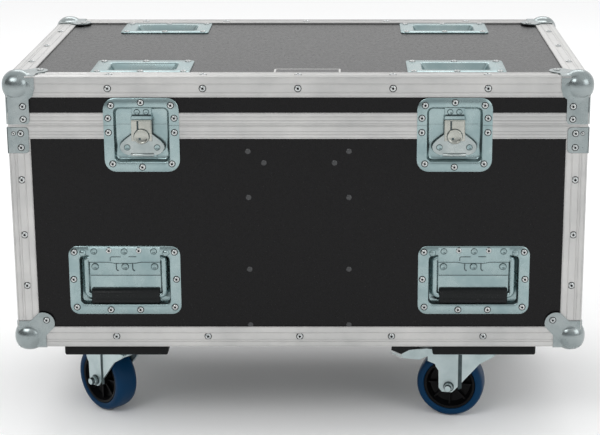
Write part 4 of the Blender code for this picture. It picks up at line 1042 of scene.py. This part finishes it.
# How far the section shrinks towards each end of the grip, by the distance from it
GRIP_ENDS = ((0.0, 0.30), (0.0008, 0.08), (0.0022, 0.0))
GRIP_RIBS = (-0.0050, 0.0040)
RIB_HALF, RIB_END = 0.0006, 0.006
for side in SIDES:
    solid = f"handle_grip_{side}"
    grip_low, grip_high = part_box(solid)
    pivot, grip_z = joint_place(f"handle_{side}_lift"), middle(solid).z
    half_l, half_t, half_h = (grip_high - grip_low) / 2
    ends = [(u - half_l, shrink) for u, shrink in GRIP_ENDS]
    ends += [(half_l - u, shrink) for u, shrink in reversed(GRIP_ENDS)]
    rings = [
        [(half_t * depth * (1 - shrink), half_h * level * (1 - shrink * half_t / half_h), u)
         for depth, level in GRIP_SECTION]
        for u, shrink in ends
    ]
    grip = bmesh.new()
    add_rings(grip, rings, facing((pivot.x, pivot.y, grip_z), RIGHTWARD), close_start=True)
    front, reach = pivot.y - half_t, half_l - RIB_END
    for v in GRIP_RIBS:
        add_box(
            grip, (pivot.x - reach, front - 0.00035, grip_z + v - RIB_HALF),
            (pivot.x + reach, front + 0.0010, grip_z + v + RIB_HALF),
        )
    piece(
        f"handle_moulded_grip_{side}", grip, f"handle_{side}", grip_rubber, slot="grip_rubber",
        stands_for=[solid], angle=30,
    )
print("grips moulded:", len(SIDES))

# %% [markdown]
# Four pans in the lid take the wheels of a case stacked on top, and a small plate with
# nothing on it sits between them at the front.

# %% Wheel dishes and the bare plate
# The first rings count from the pan's top, the last two from its floor
PAN_TOP_RINGS = mm(
    (69.0, 42.0, 6.5, -1.2), (69.0, 42.0, 6.5, -0.4), (68.6, 41.6, 6.1, 0),
    (49.5, 25.5, 7.5, 0), (48.4, 24.4, 6.8, -0.4), (47.6, 23.6, 6.2, -1.8),
)
PAN_FLOOR_RINGS = mm((39.8, 15.8, 5.0, 3.0), (38.0, 14.2, 4.0, 1.7))
PLATE_FRAME_RINGS = mm(
    (46.5, 14.0, 2.0, 0), (46.5, 14.0, 2.0, 1.0), (45.8, 13.3, 1.5, 1.4), (44.0, 11.5, 1.0, 1.4),
    (43.7, 11.2, 0.8, 1.0),
)
PLATE_FACE_RINGS = mm((44.2, 11.7, 1.0, 0.2), (43.8, 11.3, 1.0, 1.0))
for corner, sx, sy in CORNERS:
    solid = f"castor_dish_{corner}"
    x, y, _ = middle(solid)
    low, high = (limit.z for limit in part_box(solid))
    rings = [(*ring[:3], high + ring[3]) for ring in PAN_TOP_RINGS]
    rings += [(*ring[:3], low + ring[3]) for ring in PAN_FLOOR_RINGS]
    pressed_dish(f"wheel_pan_{corner}", rings, Matrix.Translation((x, y, 0)), "lid", solid)
    for u in (-0.060, 0.0, 0.060):
        for v in (-0.0345, 0.0345):
            rivet("lid", (x + u, y + v, high), UPWARD, 0.9)
plate_at = facing((0.012, -0.181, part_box("lid_top_panel")[1].z), UPWARD, BACKWARD)
plate_frame, plate_face = bmesh.new(), bmesh.new()
add_rings(
    plate_frame, [rounded_box(*ring, 3) for ring in PLATE_FRAME_RINGS], plate_at, close_end=False
)
piece("name_plate_frame", plate_frame, "lid", aluminium, slot="aluminium")
add_rings(plate_face, [rounded_box(*ring, 3) for ring in PLATE_FACE_RINGS], plate_at)
piece("name_plate_bare", plate_face, "lid", plate_black, slot="laminate")
print("wheel dishes pressed:", len(CORNERS))

# %% [markdown]
# The ball corner is one pressing: a ball that stands proud of all three faces, with flanges
# that lie on them. The solid has the right shape, but its ball is made of flats, so a finer
# cap lies over it. A UV sphere would come close, but the real ball is slightly squared. So
# the cap's points are worked out, and only for the part that looks outward.

# %% Ball caps
BALL_RADIUS = 0.02118
BALL_INSET = 0.0135
BALL_SQUARE = 2.25
CAP_RINGS, CAP_SIDES = 14, 48
CAP_REACH, CAP_TIP = 100, 1.2
CAP_HIDDEN = 0.0075


def add_cap(bm, centre, away):
    """The part of a slightly squared ball within an angle of the outward diagonal."""
    matrix = facing(centre, away)
    turned = matrix.to_3x3()
    loops = []
    for i in range(CAP_RINGS + 1):
        a = math.radians(max(CAP_REACH * (1 - i / CAP_RINGS), CAP_TIP))
        loop = []
        for point in circle(math.sin(a), math.cos(a), CAP_SIDES):
            world = turned @ Vector(point)
            size = sum(abs(part) ** BALL_SQUARE for part in world) ** (1 / BALL_SQUARE)
            loop.append(Vector(point) * (BALL_RADIUS / size))
        loops.append(loop)
    add_rings(bm, loops, matrix)


print("points in a ball cap:", (CAP_RINGS + 1) * CAP_SIDES)

# %% [markdown]
# Where the ball meets a face, the pressing runs out in a soft hollow, and not in a sharp
# line. The hollow is a short profile that is swept round the ball, once on each of its
# three faces. Then the caps and hollows of four corners become one piece each.

# %% Hollows round the balls, and the corners' rivets
FLANGE = 0.0018
# The pressing runs out from the ball over each face: (distance from its middle, height)
COVE = mm((12.6, 3.7), (14.2, 3.15), (16.0, 2.6), (18.4, 2.15), (20.6, 1.9), (22.0, 1.82))
COVE_STEPS = 26
COVE_START, COVE_TURN = -36, 162
# In each leg of a corner: (distance in from the upright edge, height from the level one)
LEG_RIVETS = {"base": [(0.0405, 0.0405)], "lid": mm((22, 59), (22, 41))}
TOP_RIVET = 0.0405


def add_cove(bm, centre, normal, first, second):
    """The run-out on one face, round the ball from one inward direction to the other."""
    start = COVE[0][0]
    rings = []
    for k in range(COVE_STEPS + 1):
        part = k / COVE_STEPS
        a = math.radians(COVE_START + COVE_TURN * part)
        # It narrows to nothing at both of its ends
        size = min(1.0, 0.15 + 4.0 * min(part, 1 - part))
        arm = first * math.cos(a) + second * math.sin(a)
        profile = [(start + (r - start) * size, h) for r, h in COVE]
        profile += [(profile[-1][0], 0.0), (start, 0.0)]
        rings.append([centre + normal * (BALL_INSET + h) + arm * r for r, h in profile])
    add_rings(bm, rings, close_start=True)


for level, body, z, down in (("base", "case_base", BOTTOM_Z, 1), ("lid", "lid", TOP_Z, -1)):
    caps, coves = bmesh.new(), bmesh.new()
    for corner, sx, sy in CORNERS:
        away = Vector((sx, sy, -down))
        centre = Vector((sx * HALF_W, sy * HALF_D, z)) - away * BALL_INSET
        add_cap(caps, centre, away)
        ways = [RIGHTWARD * sx, BACKWARD * sy, UPWARD * -down]
        for k in range(3):
            add_cove(coves, centre, ways[k], -ways[k - 1], -ways[k - 2])
    inside = [
        v for v in caps.verts
        if abs(v.co.x) < HALF_W - CAP_HIDDEN and abs(v.co.y) < HALF_D - CAP_HIDDEN
        and (v.co.z - z) * down > CAP_HIDDEN
    ]
    bmesh.ops.delete(caps, geom=inside, context="VERTS")
    piece(f"{level}_ball_caps", caps, body, grey_zinc, angle=60)
    piece(f"{level}_ball_coves", coves, body, grey_zinc, angle=50)
    for corner, sx, sy in CORNERS:
        for inward, along in LEG_RIVETS[level]:
            x, y = sx * (HALF_W - inward), sy * (HALF_D + FLANGE)
            rivet(body, (x, y, z + down * along), BACKWARD * sy, DISH_RIVET)
        for inward, along in LEG_RIVETS[level]:
            x, y = sx * (HALF_W + FLANGE), sy * (HALF_D - inward)
            rivet(body, (x, y, z + down * along), RIGHTWARD * sx, DISH_RIVET)
        x, y = sx * (HALF_W - TOP_RIVET), sy * (HALF_D - TOP_RIVET)
        rivet(body, (x, y, z - down * FLANGE), UPWARD * -down, DISH_RIVET)
print("ball caps laid over:", 2 * len(CORNERS))

# %% [markdown]
# Below the lid each upright edge is tied to the rim by a small angle plate with three
# rivets in each leg.

# %% Rim braces on the base
# Each leg's outline and rivets, as (distance in from the edge, height above the floor)
BRACE = mm(
    (-1.6, 428.5), (23.0, 428.5), (25.8, 429.2), (27.8, 431.2), (28.5, 434.0), (28.5, 460.0),
    (27.8, 462.8), (25.8, 464.8), (23.0, 465.5), (-1.6, 465.5),
)
BRACE_SHEET = 0.0016
BRACE_RIVETS = ((0.0174, 0.4368, 0.95), (0.0174, 0.4568, 0.95), (0.0076, 0.4568, 0.6))
braces = bmesh.new()
for corner, sx, sy in CORNERS:
    for normal in (BACKWARD * sy, RIGHTWARD * sx):
        flat = facing((sx * HALF_W, sy * HALF_D, 0.0), normal)
        inward = -1 if (flat.to_3x3() @ RIGHTWARD).dot(Vector((sx, sy, 0))) > 0 else 1
        outline = [(inward * u, v) for u, v in BRACE]
        add_plate(braces, outline, 0.0003, BRACE_SHEET, flat, 0.0005)
        for u, v, size in BRACE_RIVETS:
            rivet("case_base", flat @ Vector((inward * u, v, BRACE_SHEET)), normal, size)
piece("rim_braces", braces, "case_base", grey_zinc)
print("rim braces:", len(CORNERS))

# %% [markdown]
# At the back the long hinge is held by a row of screws in each leaf. The dark cross on each head is
# painted shade in its recess.

# %% Hinge screws
HINGE_SCREWS = 10
SCREW_INSET = 0.0085
CROSS_SHADE = mm((-1.8, -0.4, 1.0), (1.8, 0.4, 1.6))
hinge_low, hinge_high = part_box("hinge_lid_leaf")
base_leaf_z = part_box("hinge_base_leaf")[0].z
for body, z in (("lid", hinge_high.z - SCREW_INSET), ("case_base", base_leaf_z + SCREW_INSET)):
    heads = bmesh.new()
    for k in range(HINGE_SCREWS):
        x = hinge_low.x + (hinge_high.x - hinge_low.x) * (k + 0.5) / HINGE_SCREWS
        spot = facing((x, hinge_low.y + 0.0012, z), BACKWARD)
        add_turned(heads, SCREW_HEAD, spot, sides=16)
        # The dark cross is painted shade in the head's recess
        for turn_by in (0.0, math.pi / 2):
            add_box(heads, *CROSS_SHADE, spot @ Matrix.Rotation(turn_by, 4, "Z"), DARK)
    piece(f"hinge_screws_{body}", heads, body, rivet_steel, painted_shade_black)
print("hinge screws:", 2 * HINGE_SCREWS)

# %% [markdown]
# A castor is a plate, a swivel head with two rows of balls, a pressed fork with a stiffening
# rib, and a wheel: a black nylon core with a blue elastic tyre pressed round it. The wheel
# is turned from one profile, and everything is placed by the axle and kingpin joints.

# %% Wheels
TYRE = mm(
    (38.6, 16.0), (39.2, 17.2), (40.5, 17.8), (44.0, 17.9), (46.2, 17.2), (48.0, 15.5),
    (49.2, 12.8), (49.8, 9.0), (50.0, 4.5),
)
CORE = mm(
    (5.4, 19.9), (10.0, 19.9), (11.2, 19.2), (11.8, 8.0), (13.5, 5.6), (25.0, 5.0), (30.0, 6.2),
    (33.5, 12.0), (34.5, 15.8), (36.0, 16.6), (37.8, 16.6), (38.4, 15.8),
)
SPOKE = mm((11.5, -1.1, -11.0), (33.5, 1.1, 11.0))
SPOKES = 8


def add_wheel(bm, half, matrix, sides):
    """A turned ring that is the same on both sides of its middle."""
    profile = half + [(r, -h) for r, h in reversed(half)]
    add_turned(bm, profile, matrix, sides, close_end=False)


for corner, sx, sy in CORNERS:
    spin = facing(joint_place(f"castor_{corner}_roll"), joints[f"castor_{corner}_roll"]["axis"])
    body = f"castor_{corner}_wheel"
    tyre, core = bmesh.new(), bmesh.new()
    add_wheel(tyre, TYRE, spin, 72)
    piece(
        f"castor_blue_tyre_{corner}", tyre, body, tyre_blue, slot="blue_rubber",
        stands_for=[f"castor_tyre_{corner}"], angle=50,
    )
    add_wheel(core, CORE, spin, 48)
    for k in range(SPOKES):
        add_box(core, *SPOKE, spin @ Matrix.Rotation(k * 2 * math.pi / SPOKES, 4, "Z"))
    piece(
        f"castor_nylon_core_{corner}", core, body, core_black, slot="wheel_nylon",
        stands_for=[f"castor_wheel_core_{corner}"], angle=40,
    )
print("wheels turned:", len(CORNERS))

# %% [markdown]
# The forks, heads and plates stay the solids of the model. What they lack is small: a strip
# of painted shade on the floor of the groove pressed down each leg, washers and nuts on the
# axle, the two rows round the swivel head and the bolts of the plate. All of these are flat
# or round, so an outline or a turned profile is enough for each.

# %% Fork ribs, axle nuts and swivel races
FORK_FACE = 0.0235
PLATE_SHEET = 0.003
# The axle lies this far from the kingpin and above the floor
NUT_PLACE = (0.042, 0.050)
GROOVE_SHADE = mm((22.7, 48.0), (28.3, 45.5), (28.3, 101.2), (22.7, 101.2))
# Each turned part of an axle's end: its profile, how many sides it has and its finish
AXLE_END = (
    (mm((8.0, -0.2), (8.0, 0.9), (7.4, 1.2)), 28, DARK),
    (mm((6.4, 1.2), (6.7, 1.7), (6.7, 5.2), (5.8, 5.8)), 6, STEEL),
    (mm((5.4, 5.0), (5.4, 9.2), (4.8, 10.0)), 20, DARK),
    (mm((4.6, 9.8), (4.6, 10.2), (2.0, 10.4)), 20, STEEL),
)
RACE = mm(
    (27.2, 105.0), (28.4, 106.0), (29.0, 108.5), (28.4, 111.2), (27.6, 112.0), (28.2, 113.2),
    (29.0, 116.0), (28.8, 119.0), (28.0, 120.8), (26.2, 121.4),
)
BOLT = (
    (mm((8.0, -0.2), (8.0, 1.2), (7.4, 1.4)), 20),
    (mm((6.2, 1.2), (6.4, 1.8), (6.4, 4.8), (5.6, 5.4)), 6),
)
for corner, sx, sy in CORNERS:
    king = joint_place(f"castor_{corner}_swivel")
    axle = joint_place(f"castor_{corner}_roll")
    across = Vector(joints[f"castor_{corner}_roll"]["axis"])
    trail = Vector((axle.x - king.x, axle.y - king.y, 0)).normalized()
    under = Vector((king.x, king.y, 0))
    detail, bolts = bmesh.new(), bmesh.new()
    for way in BOTH_WAYS:
        face = facing(under + across * way * FORK_FACE, across * way)
        ahead = 1 if (face.to_3x3() @ RIGHTWARD).dot(trail) > 0 else -1
        outline = [(ahead * u, v) for u, v in GROOVE_SHADE]
        # A dark strip on the groove's floor is painted shade
        add_plate(detail, outline, -0.0016, -0.0011, face, 0.0001, DARK)
        nut = face @ Matrix.Translation((ahead * NUT_PLACE[0], NUT_PLACE[1], 0))
        for profile, sides, finish in AXLE_END:
            add_turned(detail, profile, nut, sides, finish)
    add_turned(detail, RACE, Matrix.Translation(under), 40, close_end=False)
    piece(
        f"castor_fork_detail_{corner}", detail, f"castor_{corner}_fork", galvanised, dark_steel_and_shade,
        angle=40,
    )
    bolt_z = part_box(f"castor_plate_{corner}")[1].z - PLATE_SHEET
    for u in (-0.040, 0.040):
        for v in (-0.032, 0.032):
            head = facing((king.x + u, king.y + v, bolt_z), -UPWARD, BACKWARD)
            for profile, sides in BOLT:
                add_turned(bolts, profile, head, sides)
    piece(f"castor_plate_bolts_{corner}", bolts, "case_base", rivet_steel)
print("castors dressed:", len(CORNERS))

# %% [markdown]
# The brake pedal is a pressed steel channel. Its tip carries a black ribbed tread for the
# foot, held in a bright folded lip between two cheeks.

# %% Brake tread
BRAKED = "front_right"
TREAD_HALF = 0.0195
CHEEK_HALF = 0.0209
TREAD_RIBS = 5
# Outlines of the tread, its cheeks, the lip under it and the lip's edge, as seen from the
# side: (distance from the pedal's pin, height above it)
WEDGE = mm(
    (30.0, -4.5), (58.5, -9.0), (60.6, -5.0), (60.8, 6.2), (59.0, 7.8), (24.0, 7.2), (21.5, 2.0)
)
CHEEK = mm((60.8, 7.8), (61.2, -1.5), (46.5, -6.9), (24.0, 7.2))
FOLD = mm(
    (62.0, -5.8), (62.4, -2.2), (61.0, -2.0), (60.4, -6.0), (44.0, -11.8), (44.0, -14.0),
    (46.0, -14.2),
)
LIP_EDGE = mm(
    (61.8, -1.3), (46.5, -6.7), (44.8, -6.1), (45.5, -8.5), (47.5, -8.7), (62.2, -3.5)
)


def add_slab(bm, outline, half, matrix):
    """A straight slab of any outline, as thick on both sides of its middle."""
    rings = [[(x, y, height) for x, y in outline] for height in (-half, half)]
    add_rings(bm, rings, matrix, close_start=True)


pedal_body = f"castor_{BRAKED}_brake"
king, pin = joint_place(f"castor_{BRAKED}_swivel"), joint_place(pedal_body)
trail = Vector((pin.x - king.x, pin.y - king.y, 0)).normalized()
# Local X runs along the pedal from its pin, local Y is up, local Z is across it
along_pedal = Matrix((trail, UPWARD, trail.cross(UPWARD))).transposed().to_4x4()
along_pedal = Matrix.Translation(pin) @ along_pedal
tread, lip = bmesh.new(), bmesh.new()
add_slab(tread, WEDGE, TREAD_HALF, along_pedal)
rib_half = TREAD_HALF - 0.0015
for k in range(TREAD_RIBS):
    u = 0.0285 + k * 0.0068
    add_box(tread, (u, 0.0068, -rib_half), (u + 0.0030, 0.0090, rib_half), along_pedal)
add_slab(tread, CHEEK, CHEEK_HALF, along_pedal)
piece(f"brake_tread_{BRAKED}", tread, pedal_body, grip_rubber, slot="wheel_nylon", angle=30)
add_slab(lip, FOLD, TREAD_HALF + 0.0008, along_pedal)
add_slab(lip, LIP_EDGE, CHEEK_HALF + 0.0003, along_pedal)
piece(f"brake_pedal_lip_{BRAKED}", lip, pedal_body, rivet_steel, angle=30)
print("brake tread fitted")

# %% [markdown]
# The rivets that were gathered on the way now become one piece for each body.

# %% Set the rivets down
rivet_count = 0
for body, bm in rivets.items():
    if bm.verts:
        rivet_count += len([face for face in bm.faces if face.material_index == STEEL])
        piece(f"rivets_{body}", bm, body, rivet_steel, painted_shade_black, zinc, angle=60)
    else:
        bm.free()
print("bright rivet faces:", rivet_count)

# %% [markdown]
# The photograph was taken from a little above, in front and slightly to the right, with a
# long lens. Its uprights stay nearly parallel, so the camera has a small shift besides its
# pitch.

# %% Camera
CAMERA_AT = (0.0725, -2.3477, 0.9903)
CAMERA_PITCH = 0.2464
camera_data = bpy.data.cameras.new("camera")
camera_data.lens = 95.2
camera_data.sensor_width = 36.0
camera_data.shift_x = -0.0845
camera_data.shift_y = -0.14
camera_data.clip_end = 50.0
camera = bpy.data.objects.new("camera", camera_data)
camera.location = CAMERA_AT
camera.rotation_euler = (math.pi / 2 - CAMERA_PITCH, 0.0, 0.0)
bpy.context.scene.collection.objects.link(camera)
bpy.context.scene.camera = camera
print("camera at", CAMERA_AT)

# %% [markdown]
# The floor is a large pale plane, too rough to mirror the wheels. It lies a hair below
# them.

# %% Floor
FLOOR_HALF = 30.0
floor_material, _, floor_shader = bare_material("pale_floor", 0.9, 0.0, 0.1)
floor_shader["Base Color"].default_value = (0.985, 0.985, 0.985, 1.0)
floor_bm = bmesh.new()
bmesh.ops.create_grid(floor_bm, x_segments=1, y_segments=1, size=FLOOR_HALF)
floor_mesh = bpy.data.meshes.new("floor")
floor_bm.to_mesh(floor_mesh)
floor_bm.free()
floor_mesh.materials.append(floor_material)
floor = bpy.data.objects.new("floor", floor_mesh)
floor.location.z = -0.0002
bpy.context.scene.collection.objects.link(floor)
print("floor:", 2 * FLOOR_HALF, "m wide")

# %% [markdown]
# Bare metal shows the room around it, so the room matters as much as the lamps. The world
# is a dim grey that turns white behind the case and is darker to its left. Light Path lets
# the camera see plain white there, with no more light on the case.

# %% Sky and lamps
DIM_ROOM = (0.46, 0.48, 0.49, 1.0)
WALL_DIRECTION = (0.1, 0.5, 0.9)
WALL_LIFT = 0.35
world = bpy.data.worlds.new("studio")
world.use_nodes = True
bpy.context.scene.world = world
sky = world.node_tree
rays = node(sky, "ShaderNodeLightPath", {}).outputs
direction = node(sky, "ShaderNodeTexCoord", {}).outputs["Generated"]
parts = node(sky, "ShaderNodeSeparateXYZ", {0: direction}).outputs
# How far a ray looks up and away from the photographer: 0 at the dim room, 1 at the white wall
wall_way = vector_calc(sky, "DOT_PRODUCT", direction, WALL_DIRECTION, "Value")
ramp = node(sky, "ShaderNodeValToRGB", {"Fac": calc(sky, "ADD", wall_way, WALL_LIFT)})
ramp.color_ramp.elements[0].color = DIM_ROOM
ramp.color_ramp.elements[1].color = WHITE
# In the metal the room is darker to the photographer's left
dimmer = stretch(sky, parts["X"], -0.5, 0.1, 0.30, 1.0)
dark_side = vector_calc(sky, "MULTIPLY", ramp.outputs["Color"], dimmer, "Vector")
room = mix(sky, rays["Is Glossy Ray"], ramp.outputs["Color"], dark_side)
# The camera sees white, and so do glass and the metal that reflects what lies behind
behind = calc(sky, "GREATER_THAN", parts["Y"], 0.0)
mirrored = calc(sky, "MULTIPLY", rays["Is Glossy Ray"], behind)
white_for = calc(sky, "MAXIMUM", rays["Is Camera Ray"], rays["Is Transmission Ray"])
white_for = calc(sky, "MAXIMUM", white_for, mirrored)
backdrop = sky.nodes["Background"].inputs
backdrop["Strength"].default_value = 1.0
give(sky, backdrop, {"Color": mix(sky, white_for, room, WHITE)})


def soft_lamp(name, place, target, size, watts):
    data = bpy.data.lights.new(name, "AREA")
    data.shape = "RECTANGLE"
    data.size, data.size_y = size
    data.energy = watts
    lamp = bpy.data.objects.new(name, data)
    lamp.location = place
    lamp.rotation_euler = (Vector(target) - Vector(place)).to_track_quat("-Z", "Y").to_euler()
    bpy.context.scene.collection.objects.link(lamp)


soft_lamp("key_box", (-1.4, -2.2, 2.4), (0, 0, 0.3), (1.6, 1.2), 26.0)
soft_lamp("fill_box", (2.0, -1.8, 1.4), (0, 0, 0.3), (1.4, 1.4), 12.0)
soft_lamp("back_box", (0.0, 2.2, 2.2), (0, 0, 0.4), (2.4, 0.8), 16.0)
bpy.context.scene.view_settings.view_transform = "Standard"
print("lamps:", len(bpy.data.lights))
